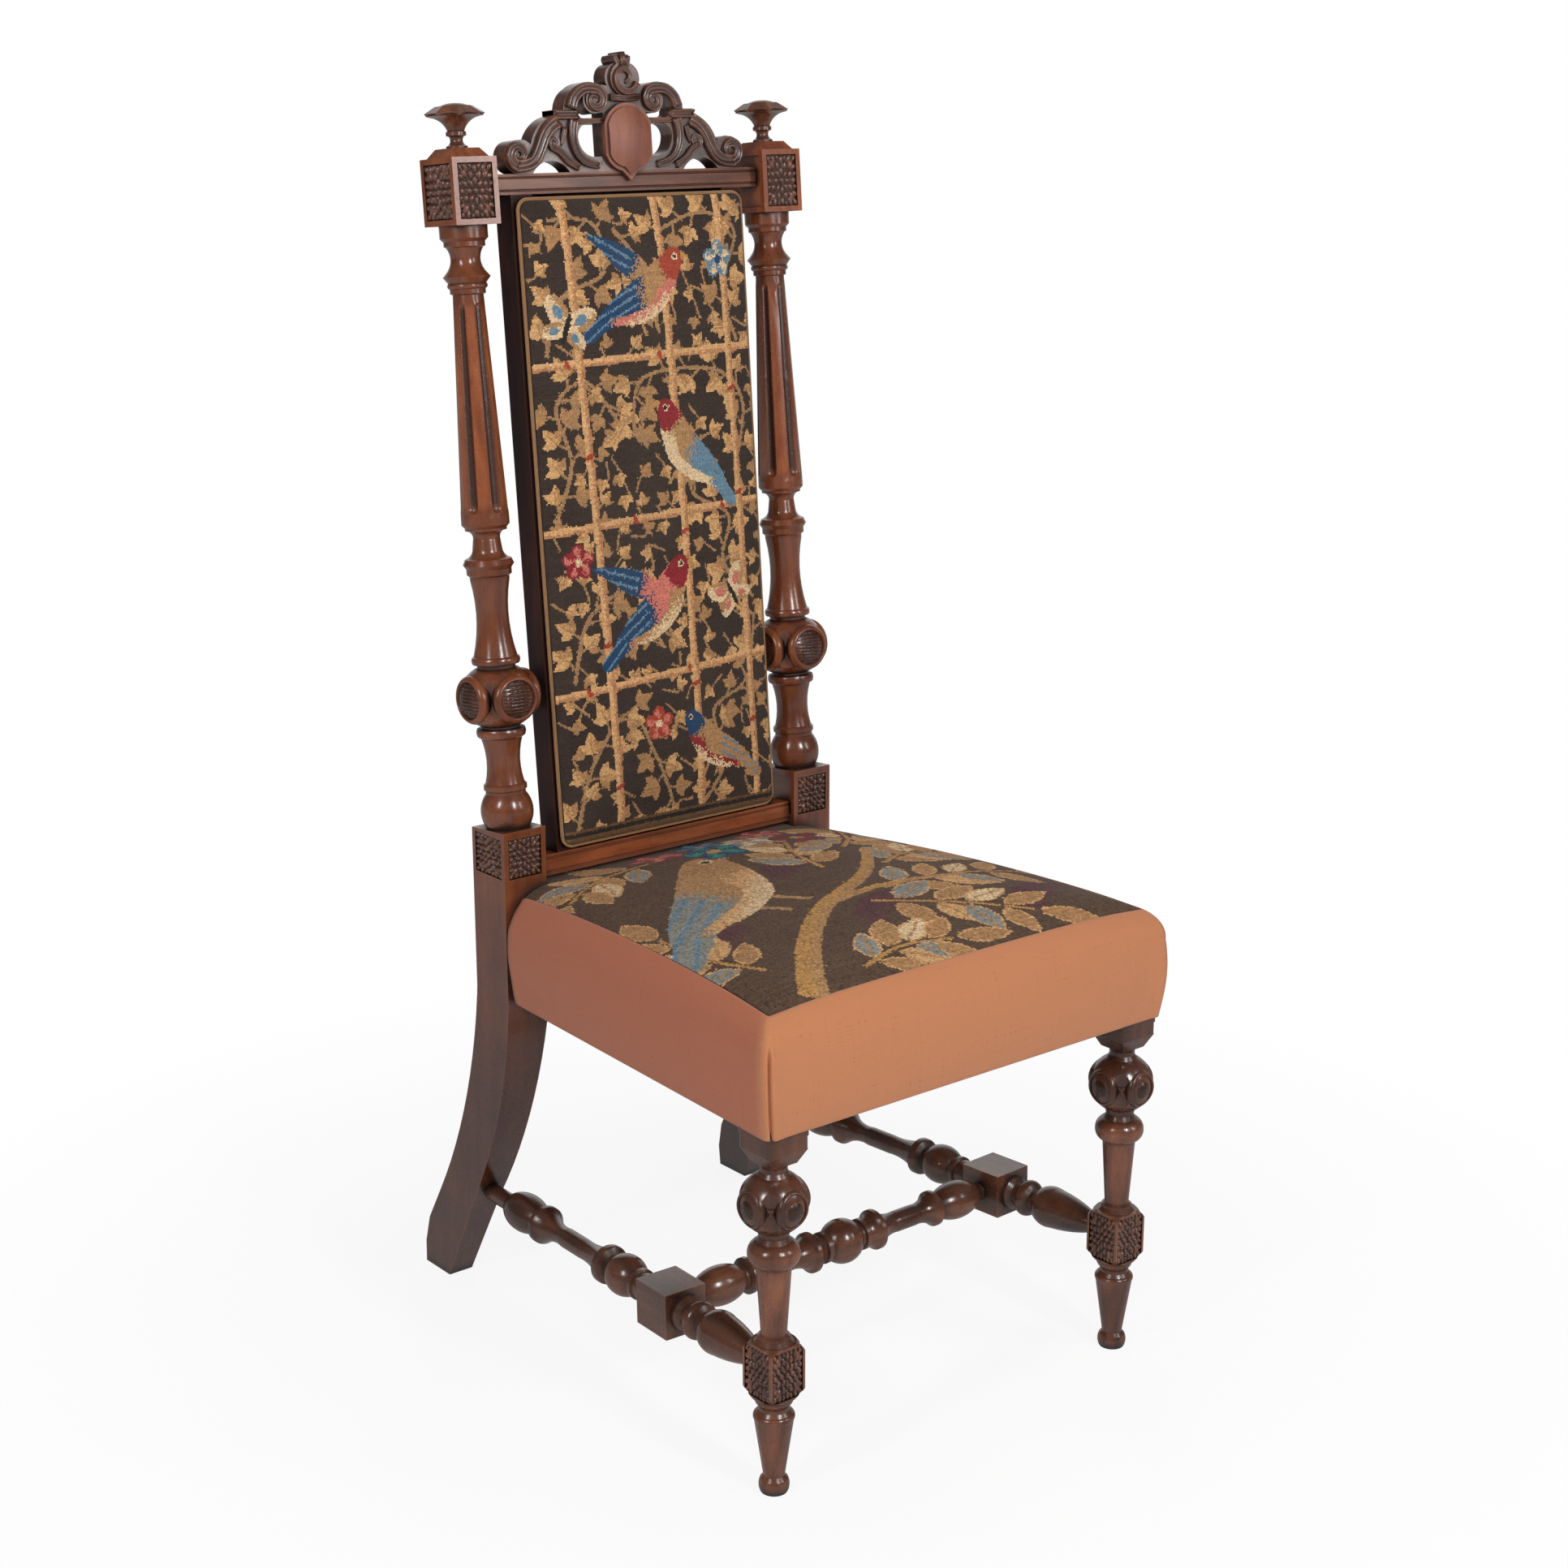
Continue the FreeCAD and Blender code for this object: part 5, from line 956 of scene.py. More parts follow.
def seat_grid(columns, rows):
    """Top of the stuffed seat, level, from the front seam to the tongue under the back."""
    share, y = np.meshgrid(np.linspace(-1, 1, columns + 1),
                           np.linspace(SEAT_FRONT_Y + SEAM_DRAW, SEAT_END_Y, rows + 1))
    half = np.where(y < SEAT_REAR_Y, seat_half(y, -SEAM_DRAW), SEAT_TONGUE_HALF - 0.5 * MM)
    x = share * half
    side = SEAM_DRAW + np.where(y < SEAT_REAR_Y, half - np.abs(x), 30 * MM + half - np.abs(x))
    front = y - SEAT_FRONT_Y
    soft = SEAT_CORNER_BLEND
    inward = np.maximum(-soft * np.log(np.exp(-side / soft) + np.exp(-front / soft)), SEAM_DRAW)
    crown = SEAT_CROWN_Z - CROWN_FALL * np.clip(1 - inward / CROWN_REACH, 0, 1) ** 2
    z = crown - SEAM_DIP * np.exp(-((inward - SEAM_DRAW) / SEAM_DIP_REACH) ** 1.3)
    z = z + seam_lift(x, y) * np.exp(-(inward - SEAM_DRAW) / SEAM_LIFT_REACH)
    z = z + (np.minimum(z, TONGUE_TOP_Z) - z) * eased(y, *TONGUE_FALL_Y)
    past = np.clip(y - (SEAT_END_Y - SEAT_END_ROLL), 0, SEAT_END_ROLL) / SEAT_END_ROLL
    z = z - SEAT_END_DROP * (1 - np.sqrt(np.maximum(1 - past ** 2, 0)))
    return np.stack([x, y, z], -1)


def seat_pad():
    """Stuffed seat with its needlework top."""
    coarse = seat_grid(40, 42)
    travel = stuffed(coarse, rim_of(coarse.shape) | (coarse[..., 1] > 80 * MM), 4 * MM)
    fine = seat_grid(SEAT_COLUMNS, SEAT_ROWS)
    places = middles(fine) / MM
    colours = seat_chart(places[..., 0], places[..., 1] - (SEAT_FRONT_Y + SEAM_DRAW) / MM)
    fine = fine + spread_over(travel, SEAT_ROWS, SEAT_COLUMNS)
    made = mesh_object("needlework_seat", fine, grid_faces(SEAT_COLUMNS, SEAT_ROWS))
    closed(made, lambda place: Vector((place.x, place.y, SEAT_RIM_Z)))
    stitched(made, colours, SEAT_COLUMNS, SEAT_ROWS)
    place_all(made, tilted)
    finish_piece(made, seat_wool, ("seat_needlework_cover", "seat_stuffing"))


BAND_LIP = 13 * MM
BAND_WALL_ROWS = 16
BAND_BULGE = 5 * MM
BAND_SIDE = 70
BAND_CORNER = 26
BAND_FRONT = 80
# Middle column of each front corner, with the side that it is on
BAND_CORNERS = ((BAND_SIDE + BAND_CORNER // 2, -1), (BAND_SIDE + BAND_FRONT + 3 * BAND_CORNER // 2, 1))
BAND_PINNED = 16
BAND_MEASURED_ROW = 12
BAND_RADIUS = 10 * MM
ROLL_ANGLE = math.radians(61)
ROLL_IN = 34 * MM
ROLL_UP = 32 * MM
ROLL_RADIUS_LOSS = 7 * MM
PLEAT_REACH = 30 * MM
PLEAT_END_Z = (394 * MM, 416 * MM)
PLEAT_DEPTH = 4.5 * MM
PLEAT_PLACE = 2 * MM
PLEAT_WIDTH = 1.1 * MM
FLAP_PLACE = 8 * MM
FLAP_WIDTH = 5 * MM
FLAP_RISE = 1.3 * MM
CLOTH_THICKNESS = 1.2 * MM
LEG_HEAD_REACH = 27 * MM


def band_profile():
    """Rows of the band as (outward growth, height, corner radius): under, up the side, over the roll."""
    rows = [(-BAND_LIP * share, SEAT_LOW_Z, 9 * MM) for share in (1, 0.66, 0.33, 0.08)]
    for share in np.linspace(0.01, 1, 18):
        rows.append((BAND_BULGE * math.sin(0.75 * math.pi * share),
                     SEAT_LOW_Z + (SEAT_ROLL_Z - SEAT_LOW_Z) * share, BAND_RADIUS))
    wall = rows[-1][0]
    for angle in np.linspace(0, ROLL_ANGLE, 14)[1:]:
        rows.append((wall - ROLL_IN * (1 - math.cos(angle)), SEAT_ROLL_Z + ROLL_UP * math.sin(angle),
                     BAND_RADIUS - ROLL_RADIUS_LOSS * angle / ROLL_ANGLE))
    return rows


def band_row(grow, height, radius):
    """One row of the band from the left rear round the front to the right rear."""
    front_half, rear_half = SEAT_FRONT_HALF + grow, SEAT_REAR_HALF + grow
    corners = np.array([(-rear_half, SEAT_REAR_Y), (-front_half, SEAT_FRONT_Y - grow),
                        (front_half, SEAT_FRONT_Y - grow), (rear_half, SEAT_REAR_Y)])
    legs = np.diff(corners, axis=0)
    ways = legs / np.hypot(*legs.T)[:, None]
    turns = [(corners[i] - ways[i - 1] * radius, corners[i], corners[i] + ways[i] * radius) for i in (1, 2)]
    line = []
    for start, end, count in ((corners[0], turns[0][0], BAND_SIDE), (turns[0][2], turns[1][0], BAND_FRONT),
                              (turns[1][2], corners[3], BAND_SIDE)):
        line.append(start + (end - start) * np.linspace(0, 1, count + 1)[:, None])
    for index, (a, b, c) in zip((1, 3), turns):
        t = np.linspace(0, 1, BAND_CORNER + 1)[1:-1, None]
        line.insert(index, a * (1 - t) ** 2 + 2 * b * t * (1 - t) + c * t ** 2)
    plan = np.concatenate(line)
    return np.column_stack([plan, np.full(len(plan), height)])


def pleated(points):
    """Presses the fold of the cloth into both front corners, the front over the side."""
    for corner, side in BAND_CORNERS:
        middle = points[:, corner]
        past = (points[..., 0] - middle[:, None, 0]) * -side
        near = np.abs(points[..., 1] - middle[:, None, 1]) + np.abs(past) < PLEAT_REACH
        lasting = 1 - eased(points[..., 2], *PLEAT_END_Z)
        groove = np.exp(-((past - PLEAT_PLACE) / PLEAT_WIDTH) ** 2) * PLEAT_DEPTH
        flap = np.exp(-((past - FLAP_PLACE) / FLAP_WIDTH) ** 2) * FLAP_RISE
        inward = (groove - flap) * near * lasting
        points[..., 1] += inward
        points[..., 0] -= side * 0.5 * inward
    return points


def steps(points, axis):
    """Lengths from point to point along one axis of a grid."""
    return np.linalg.norm(np.diff(points, axis=axis), axis=2)


def thicken(made, thickness, offset):
    """Gives a sheet its thickness: all behind its points at offset -1, half to either side at 0."""
    thick = made.modifiers.new("thickness", "SOLIDIFY")
    thick.thickness = thickness
    thick.offset = offset


def seat_band():
    """Plain cloth round the front and sides of the seat, turned under the rails."""
    points = np.array([band_row(*row) for row in band_profile()])
    over = np.clip((np.arange(len(points)) - BAND_WALL_ROWS) / (len(points) - 1 - BAND_WALL_ROWS), 0, 1)
    points[..., 2] += np.outer(over, seam_lift(points[-1, :, 0], points[-1, :, 1]))
    legs = (np.abs(points[..., 0]) > LEG_X - LEG_HEAD_REACH) & (points[..., 1] < LEG_Y + LEG_HEAD_REACH)
    for row in range(4):
        short = legs[row][:, None]
        points[row] = np.where(short, points[4] + (points[row] - points[4]) * 0.1, points[row])
    pinned = np.zeros(points.shape[:2], bool)
    pinned[:5] = True
    pinned[-1] = True
    for corner, _ in BAND_CORNERS:
        pinned[:, corner - BAND_PINNED:corner + BAND_PINNED + 1] = True
    points = pleated(points + stuffed(points, pinned, 1.8 * MM))
    along = walked(steps(points, 1)[BAND_MEASURED_ROW])
    up = walked(steps(points, 0).mean(1))
    made = mesh_object("seat_border_cloth", points, grid_faces(points.shape[1] - 1, points.shape[0] - 1))
    set_uv(made, np.stack(np.meshgrid(along, up), -1))
    place_all(made, tilted)
    thicken(made, CLOTH_THICKNESS, -1.0)
    finish_piece(made, border_cloth, ("seat_border_band",))


def cloth_panel(name, points, placing, material, thickness, replaced):
    """A stretched cloth from a grid of points, its UV map in metres."""
    made = mesh_object(name, points, grid_faces(points.shape[1] - 1, points.shape[0] - 1))
    widths = steps(points, 1).sum(1)
    widest, height = widths.max(), steps(points, 0).sum(0).mean()
    across = np.linspace(0, widths.mean(), points.shape[1])
    set_uv(made, np.stack(np.meshgrid(across, np.linspace(0, height, points.shape[0])), -1))
    place_all(made, placing)
    thicken(made, thickness, 0.0)
    finish_piece(made, material, replaced)


def rear_band():
    """The band's separate length on the back rail between the posts."""
    x, z = np.meshgrid(np.linspace(-SEAT_TONGUE_HALF, SEAT_TONGUE_HALF, 41) * 0.996,
                       np.linspace(SEAT_LOW_Z, 425 * MM, 21))
    bulge = 1.2 * MM * np.sin(np.pi * (z - SEAT_LOW_Z) / (96 * MM))
    points = np.stack([x, SEAT_TONGUE_Y - 0.9 * MM + bulge, z], -1)
    cloth_panel("seat_border_cloth_rear", points[:, ::-1], tilted, border_cloth,
                CLOTH_THICKNESS, ())


def outside_back():
    """Cloth tacked over the back of the frame, drawn in a little between the stiles."""
    x, s = np.meshgrid(np.linspace(-125.5, 125.5, 41) * MM,
                       np.linspace(BOTTOM_RAIL_END_S - 14 * MM, TOP_RAIL_S + 13 * MM, 101))
    to_rails = np.minimum(s - BOTTOM_RAIL_END_S, TOP_RAIL_S - s)
    inside = eased(np.minimum(104 * MM - np.abs(x), to_rails), 0, 60 * MM)
    points = np.stack([x, BACK_REAR_V + 0.75 * MM - 2.2 * MM * inside, s], -1)
    cloth_panel("outside_back", points[:, ::-1], raked, lining_cloth,
                CLOTH_THICKNESS, ("outside_back_cloth",))


def dust_cover():
    """Lining tacked under the seat rails, sagging a little between them."""
    y = np.linspace(SEAT_FRONT_Y + 5 * MM, SEAT_TONGUE_Y - 5 * MM, 93)
    share, y = np.meshgrid(np.linspace(-1, 1, 61), y)
    half = np.where(y < LEG_Y + LEG_HEAD_REACH, LEG_X - LEG_HEAD_REACH, seat_half(y, -5 * MM))
    half = np.where(y > SEAT_REAR_Y - 4 * MM, SEAT_TONGUE_HALF - 5 * MM, half)
    x = share * half
    inside = np.minimum(half - np.abs(x), np.minimum(y - SEAT_FRONT_Y, SEAT_TONGUE_Y - y)) - 34 * MM
    z = 328 * MM - 5 * MM * eased(inside, 0, 110 * MM)
    cloth_panel("dust_cover", np.stack([x, y, z], -1)[:, ::-1], tilted, lining_cloth,
                0.8 * MM, ("seat_dust_cover",))


back_panel()
seat_pad()
seat_band()
rear_band()
outside_back()
dust_cover()


# Carving and braid

def geometry_group(name, inputs):
    """A geometry tree that takes a shape, the named inputs and a material, as (tree, input, output)."""
    tree = bpy.data.node_groups.new(name, "GeometryNodeTree")
    for label, kind in (("Geometry", "Geometry"), *inputs, ("Material", "Material")):
        tree.interface.new_socket(label, in_out="INPUT", socket_type="NodeSocket" + kind)
    tree.interface.new_socket("Geometry", in_out="OUTPUT", socket_type="NodeSocketGeometry")
    return tree, tree.nodes.new("NodeGroupInput"), tree.nodes.new("NodeGroupOutput")


def repeat_tree():
    """Copies of the piece's own geometry turned about its Z axis."""
    tree, start, end = geometry_group(
        "around_axis", (("Count", "Int"), ("Start", "Float"), ("Step", "Float")))
    points = add(tree, "GeometryNodePoints", {"Count": start.outputs["Count"]})
    index = tree.nodes.new("GeometryNodeInputIndex")
    turn = math_node(tree, "MULTIPLY_ADD", index.outputs[0], start.outputs["Step"], start.outputs["Start"])
    about = add(tree, "ShaderNodeCombineXYZ", {"Z": turn})
    rotation = add(tree, "FunctionNodeEulerToRotation", {0: about.outputs[0]})
    copy = add(tree, "GeometryNodeGeometryToInstance", {0: start.outputs["Geometry"]})
    laid = add(tree, "GeometryNodeInstanceOnPoints",
               {"Points": points.outputs[0], "Instance": copy.outputs[0], "Rotation": rotation.outputs[0]})
    return finish_tree(tree, laid.outputs[0], start, end)


def finish_tree(tree, geometry, start, end):
    """Ends a geometry tree: real meshes in the given material."""
    real = add(tree, "GeometryNodeRealizeInstances", {0: geometry})
    painted = add(tree, "GeometryNodeSetMaterial",
                  {"Geometry": real.outputs[0], "Material": start.outputs["Material"]})
    wire(tree, end, {0: painted.outputs[0]})
    return tree


def baked(made, tree, values):
    """Runs a geometry tree on an object and keeps the outcome as its mesh."""
    work = made.modifiers.new("made", "NODES")
    work.node_group = tree
    for item in tree.interface.items_tree:
        if item.in_out == "INPUT" and item.name in values:
            work[item.identifier] = values[item.name]
    made.update_tag()
    shown = made.evaluated_get(bpy.context.evaluated_depsgraph_get())
    mesh = bpy.data.meshes.new_from_object(shown)
    made.modifiers.remove(work)
    made.data = mesh
    return made


AROUND = repeat_tree()
ROSETTE_CELLS = 60
# How dark the rosette's ground and walls are painted, as grime and painted shade.
ROSETTE_GRIME_AND_SHADE = 0.8
# Domes of a carved rosette in one quarter of its square: middle, half sizes, lean in degrees, height
ROSETTE_DOMES = (
    ((0, 0), (0.14, 0.14), 0, 0.95), ((0.36, 0), (0.19, 0.12), 0, 0.8),
    ((0.26, 0.26), (0.19, 0.12), 45, 0.8), ((0.61, 0.61), (0.24, 0.14), 45, 0.95),
    ((0.85, 0.85), (0.16, 0.12), 45, 0.8), ((0.82, 0.52), (0.20, 0.12), 15, 0.85),
    ((0.80, 0), (0.18, 0.13), 0, 0.8), ((0.88, 0.25), (0.13, 0.1), 30, 0.7),
    ((0.58, 0.25), (0.18, 0.14), 25, 0.75))


def rosette(p, q):
    """Height of the carved square rosette, from 0 at its ground to 1, over -1 to 1 each way."""
    height = np.zeros_like(p)
    for (across, up), (length, width), lean, rise in ROSETTE_DOMES:
        turn = math.radians(lean)
        for a, b in ((np.abs(p) - across, np.abs(q) - up), (np.abs(q) - across, np.abs(p) - up)):
            u = (a * math.cos(turn) + b * math.sin(turn)) / length
            v = (b * math.cos(turn) - a * math.sin(turn)) / width
            height = np.maximum(height, rise * np.sqrt(np.maximum(1 - u ** 2 - v ** 2, 0)))
    return height


def keep_grime_and_shade(made, front, rest):
    """Stores how dark each point of a carving is painted, as grime and painted shade: the points of its
    face, then all others.
    """
    grime_and_shade_level = np.full(len(made.data.vertices), rest)
    grime_and_shade_level[:front.size] = front.ravel()
    made.data.attributes.new("grime_and_shade", "FLOAT", "POINT").data.foreach_set("value", grime_and_shade_level)


def rosette_panel(name, width, height, floor_y, low):
    """One carved panel facing -Y about the block's axis, its rim sunk a little into the block."""
    run = np.linspace(-1, 1, ROSETTE_CELLS + 1)
    p, q = np.meshgrid(run, run)
    relief = rosette(p, q)
    out = floor_y + 0.05 * MM + (CARVED_RECESS + 1.1 * MM) * relief
    points = np.stack([p * width / 2, -out, low + (q + 1) * height / 2], -1)
    made = mesh_object(name, points, grid_faces(ROSETTE_CELLS, ROSETTE_CELLS))
    made = closed(made, lambda place: Vector((place.x, -floor_y + 6 * MM, place.z)))
    # The carving's ground is painted darker than its raised lobes: grime and painted shade in the hollows.
    keep_grime_and_shade(made, ROSETTE_GRIME_AND_SHADE * (1 - np.clip(relief / 0.65, 0, 1)), ROSETTE_GRIME_AND_SHADE)
    return made


def set_around(made, count, start, step, placing, material):
    """Copies of a piece turned about its Z axis and placed on the chair; angles in degrees."""
    baked(made, AROUND, {"Count": count, "Start": math.radians(start), "Step": math.radians(step),
                         "Material": material})
    place_all(made, placing)
    finish_piece(made, material)


def carved_block(name, faces, low, height, border, placing):
    """Carved panels on a square block; faces have (first angle, count, step, width, distance apart)."""
    for start, count, step, across, apart in faces:
        made = rosette_panel(name, across - 2 * border, height - 2 * border,
                             apart / 2 - CARVED_RECESS, low + border)
        set_around(made, count, start, step, placing, carved_walnut)


def turned_ends(points):
    """Draws the corners of the leg block's carving in under the turned-away corners of the block."""
    end = np.minimum(points[..., 2] - LEG_BLOCK_LOW, LEG_BLOCK_LOW + LEG_BLOCK_HEIGHT - points[..., 2])
    corner = LEG_BLOCK / math.sqrt(2)
    limit = LEG_BLOCK / 2 + (corner - LEG_BLOCK / 2) * np.clip(end / LEG_BLOCK_CHAMFER, 0, 1)
    pull = np.minimum(1, (limit - 0.4 * MM) / np.hypot(points[..., 0], points[..., 1]))
    return points * np.stack([pull, pull, np.ones_like(pull)], -1)


def tube_faces(rings, count):
    """Quads between rings of points, each ring closed on itself."""
    faces = []
    for i in range(rings - 1):
        for j in range(count):
            k = (j + 1) % count
            faces.append((i * count + j, i * count + k, (i + 1) * count + k, (i + 1) * count + j))
    return faces


OVAL_RIM = 0.76
OVAL_SPOKES = 72
OVAL_RIM_RISE = 2.4 * MM
HATCH_SPACING = 3.4 * MM
HATCH_BREAK = 5.5 * MM
# Sizes of the ovals: radius of the ball, half width, half height, fall towards the sides and the ends
COLUMN_OVAL = (37 * MM, 23.5 * MM, 22.5 * MM, (8.4 * MM, 8.4 * MM))
LEG_OVAL = (29 * MM, 16 * MM, 18 * MM, (4.9 * MM, 8 * MM))
STUD_RADIUS = 24.5 * MM
STUD_HALF = 3.2 * MM


def oval_boss(name, radius, half_width, half_height, fall, hatched):
    """A domed oval on a turned ball, facing -Y: a raised rim and a plain or hatched field."""
    share = np.concatenate([np.linspace(0.02, OVAL_RIM - 0.02, 26), np.linspace(OVAL_RIM, 1, 11)])
    around = np.linspace(0, 2 * np.pi, OVAL_SPOKES, endpoint=False)
    p = np.outer(share, np.cos(around)) * half_width
    q = np.outer(share, np.sin(around)) * half_height
    out = radius - fall[0] * (p / half_width) ** 2 - fall[1] * (q / half_height) ** 2
    rho = share[:, None] * np.ones_like(p)
    rim = np.clip((rho - OVAL_RIM) / (1 - OVAL_RIM), 0, 1)
    out = out + np.where(rho >= OVAL_RIM, OVAL_RIM_RISE * np.sin(np.pi * rim) ** 0.5, 0)
    field = np.clip(1 - (rho / OVAL_RIM) ** 2, 0, 1)
    if hatched:
        ridges = np.abs(np.sin(np.pi * q / HATCH_SPACING)) ** 0.7
        ridges = ridges * (0.5 + 0.5 * np.abs(np.sin(np.pi * p / HATCH_BREAK)) ** 0.4)
        out = out + np.where(rho < OVAL_RIM, -2.4 * MM + 1.4 * MM * field + 1.5 * MM * ridges, 0)
    else:
        out = out + np.where(rho < OVAL_RIM, -1.6 * MM + 3.0 * MM * field, 0)
    points = np.stack([p, -out, q], -1)
    faces = tube_faces(len(share), OVAL_SPOKES) + [tuple(range(OVAL_SPOKES))]
    made = closed(mesh_object(name, points, faces),
                  lambda place: Vector((place.x * 0.9, place.y + 7 * MM, place.z * 0.9)))
    # The oval's sunk field and the walls round it are painted darker than its rim: grime and painted shade.
    keep_grime_and_shade(made, np.where(rho < OVAL_RIM, 0.85, 0.25), 0.7)
    return made


def square_boss(name, radius, half):
    """A small pointed stud on a turned ball, facing -Y."""
    points = [(x * half, -radius, z * half) for x, z in ((-1, -1), (1, -1), (1, 1), (-1, 1))]
    points += [(x * 0.8, y + 6 * MM, z * 0.8) for x, y, z in points]
    points.append((0, -radius - 0.7 * half, 0))
    faces = [(0, 1, 8), (1, 2, 8), (2, 3, 8), (3, 0, 8), (7, 6, 5, 4)]
    faces += [(i, i + 4, (i + 1) % 4 + 4, (i + 1) % 4) for i in range(4)]
    return mesh_object(name, points, faces, smooth=False)


def shifted(offset, placing=np.asarray):
    """A placing function that moves points by an offset first."""
    return lambda points: placing(points + np.array(offset))


def block_carving(side, word):
    """Rosettes on the front, rear and outer side of a post's blocks, and on all but the rear of a leg's."""
    post_faces = ((0, 2, 180, BLOCK_WIDTH, BLOCK_DEPTH), (90 * side, 1, 0, BLOCK_DEPTH, BLOCK_WIDTH))
    leg_faces = ((-90, 3, 90, LEG_BLOCK, LEG_BLOCK),)
    on_leg = shifted((side * LEG_X, LEG_Y, 0))
    carved_block(word + "_top_block_carving", post_faces, TOP_BLOCK_S, TOP_BLOCK_HEIGHT, CARVED_BORDER,
                 shifted((side * POST_X, 0, 0), raked))
    carved_block(word + "_seat_block_carving", post_faces, SEAT_BLOCK_TOP - SEAT_BLOCK_HEIGHT,
                 SEAT_BLOCK_HEIGHT, CARVED_BORDER, shifted((side * POST_X, POST_AXIS_Y, 0)))
    carved_block(word + "_leg_block_carving", leg_faces, LEG_BLOCK_LOW, LEG_BLOCK_HEIGHT, LEG_CARVED_BORDER,
                 lambda points: on_leg(turned_ends(points)))


def ball_carving(side, word):
    """Ovals on the ball of a post, and ovals and studs on the ball of a leg."""
    on_post = shifted((side * POST_X, 0, COLUMN_BALL_S), raked)
    on_leg = shifted((side * LEG_X, LEG_Y, LEG_BALL_Z))
    set_around(oval_boss(word + "_column_ovals", *COLUMN_OVAL, True), 4, 0, 90, on_post, oval_walnut)
    set_around(oval_boss(word + "_leg_ovals", *LEG_OVAL, False), 4, 0, 90, on_leg, oval_brown)
    set_around(square_boss(word + "_leg_bosses", STUD_RADIUS, STUD_HALF), 4, 45, 90, on_leg, brown_upright)


def volute(centre, outer, inner, start, sweep, steps=40):
    """Points of a spiral from its eye outwards; angles in degrees."""
    share = np.linspace(0, 1, steps)
    angle = np.radians(start + sweep * share)
    radius = inner + (outer - inner) * share
    return [(centre[0] + r * math.cos(a), centre[1] + r * math.sin(a)) for r, a in zip(radius, angle)]


# A scroll's section as (share of its width, height in millimetres); None stands for its back
SCROLL_SECTION = ((-0.5, None), (-0.5, 1.0), (-0.45, 3.2), (-0.34, 4.2), (-0.22, 3.4), (0.0, 1.0),
                  (0.22, 3.4), (0.34, 4.2), (0.45, 3.2), (0.5, 1.0), (0.5, None))
SCROLL_FULL_WIDTH = 9
SCROLL_BACK_V = 2


def scroll(line, start_width, end_width, lift=0.6):
    """A channelled scroll of the cresting swept along points in millimetres from the middle of its foot."""
    line = np.array(line, float)
    ways = np.gradient(line, axis=0)
    ways /= np.hypot(*ways.T)[:, None]
    across = np.column_stack([-ways[:, 1], ways[:, 0]])
    widths = np.linspace(start_width, end_width, len(line))
    points = []
    for place, side, width in zip(line, across, widths):
        scale = min(1.0, width / SCROLL_FULL_WIDTH)
        for offset, height in SCROLL_SECTION:
            spot = place + side * offset * width
            depth = SCROLL_BACK_V if height is None else BACK_FACE_V / MM - lift - height * scale
            points.append((spot[0] * MM, depth * MM, TOP_RAIL_END_S + spot[1] * MM))
    count = len(SCROLL_SECTION)
    ends = [tuple(range(count)), tuple(range((len(line) - 1) * count, len(line) * count))]
    return mesh_object("scroll", points, tube_faces(len(line), count) + ends)


def crest_lines():
    """Scrolls of the right half of the cresting, as (points, width at the start, width at the end)."""
    lower = volute((119.5, 16), 9.5, 2.5, 740, -470)
    lower += [(109, 8), (102, 12), (96, 21), (91, 31), (84, 39.5), (74, 45)]
    upper = volute((32.4, 63), 9.5, 2.5, 520, -430) + [(42, 73), (49.5, 70.5), (56, 64.5), (59.5, 56)]
    bracket = [(57.5, 46), (59.5, 37), (59.5, 26), (55, 15), (46, 8), (33, 5)]
    husk = volute((80, 26), 5.0, 1.5, 600, -330, 24) + [(73, 17), (66, 10), (55, 4)]
    vein = [(68, 39), (70, 31), (73, 24)]
    petal = [(3.5, 93), (6, 97), (8, 101.5)]
    ledge = [(52, 50), (66, 50), (78, 50)]
    bar = [(26, 44.5), (40, 44.5), (54, 44.5)]
    return ((lower, 3.5, 13), (upper, 3.5, 11), (bracket, 10, 6), (husk, 2.5, 7), (vein, 6, 3),
            (petal, 7, 3), (ledge, 8, 8), (bar, 4.5, 4.5))


def crest_carving():
    """Channelled scrolls, ledges and the top knot on the face of the cresting."""
    pieces = []
    for line, start, end in crest_lines():
        smooth = smooth_path(line, 3)
        for side in (1, -1):
            pieces.append(scroll(smooth * np.array([side, 1]), start, end))
    knot = volute((0, 82), 14, 3, -80, 420, 70)
    pieces.append(scroll(knot, 4, 6.5, lift=4.0))
    pieces.append(scroll([(0, 93), (0, 99), (0, 105)], 9, 4, lift=2.0))
    pieces.append(scroll([(-16, 65), (0, 64), (16, 65)], 6, 6, lift=2.0))
    made = joined(pieces, "crest_scrolls")
    place_all(made, raked)
    finish_piece(made, dark_across)


def joined(pieces, name):
    """One mesh object from several, all facing out."""
    work = bmesh.new()
    for piece in pieces:
        work.from_mesh(piece.data)
        bpy.data.objects.remove(piece)
    bmesh.ops.recalc_face_normals(work, faces=work.faces)
    mesh = bpy.data.meshes.new(name)
    work.to_mesh(mesh)
    work.free()
    made = bpy.data.objects.new(name, mesh)
    scene.collection.objects.link(made)
    return made


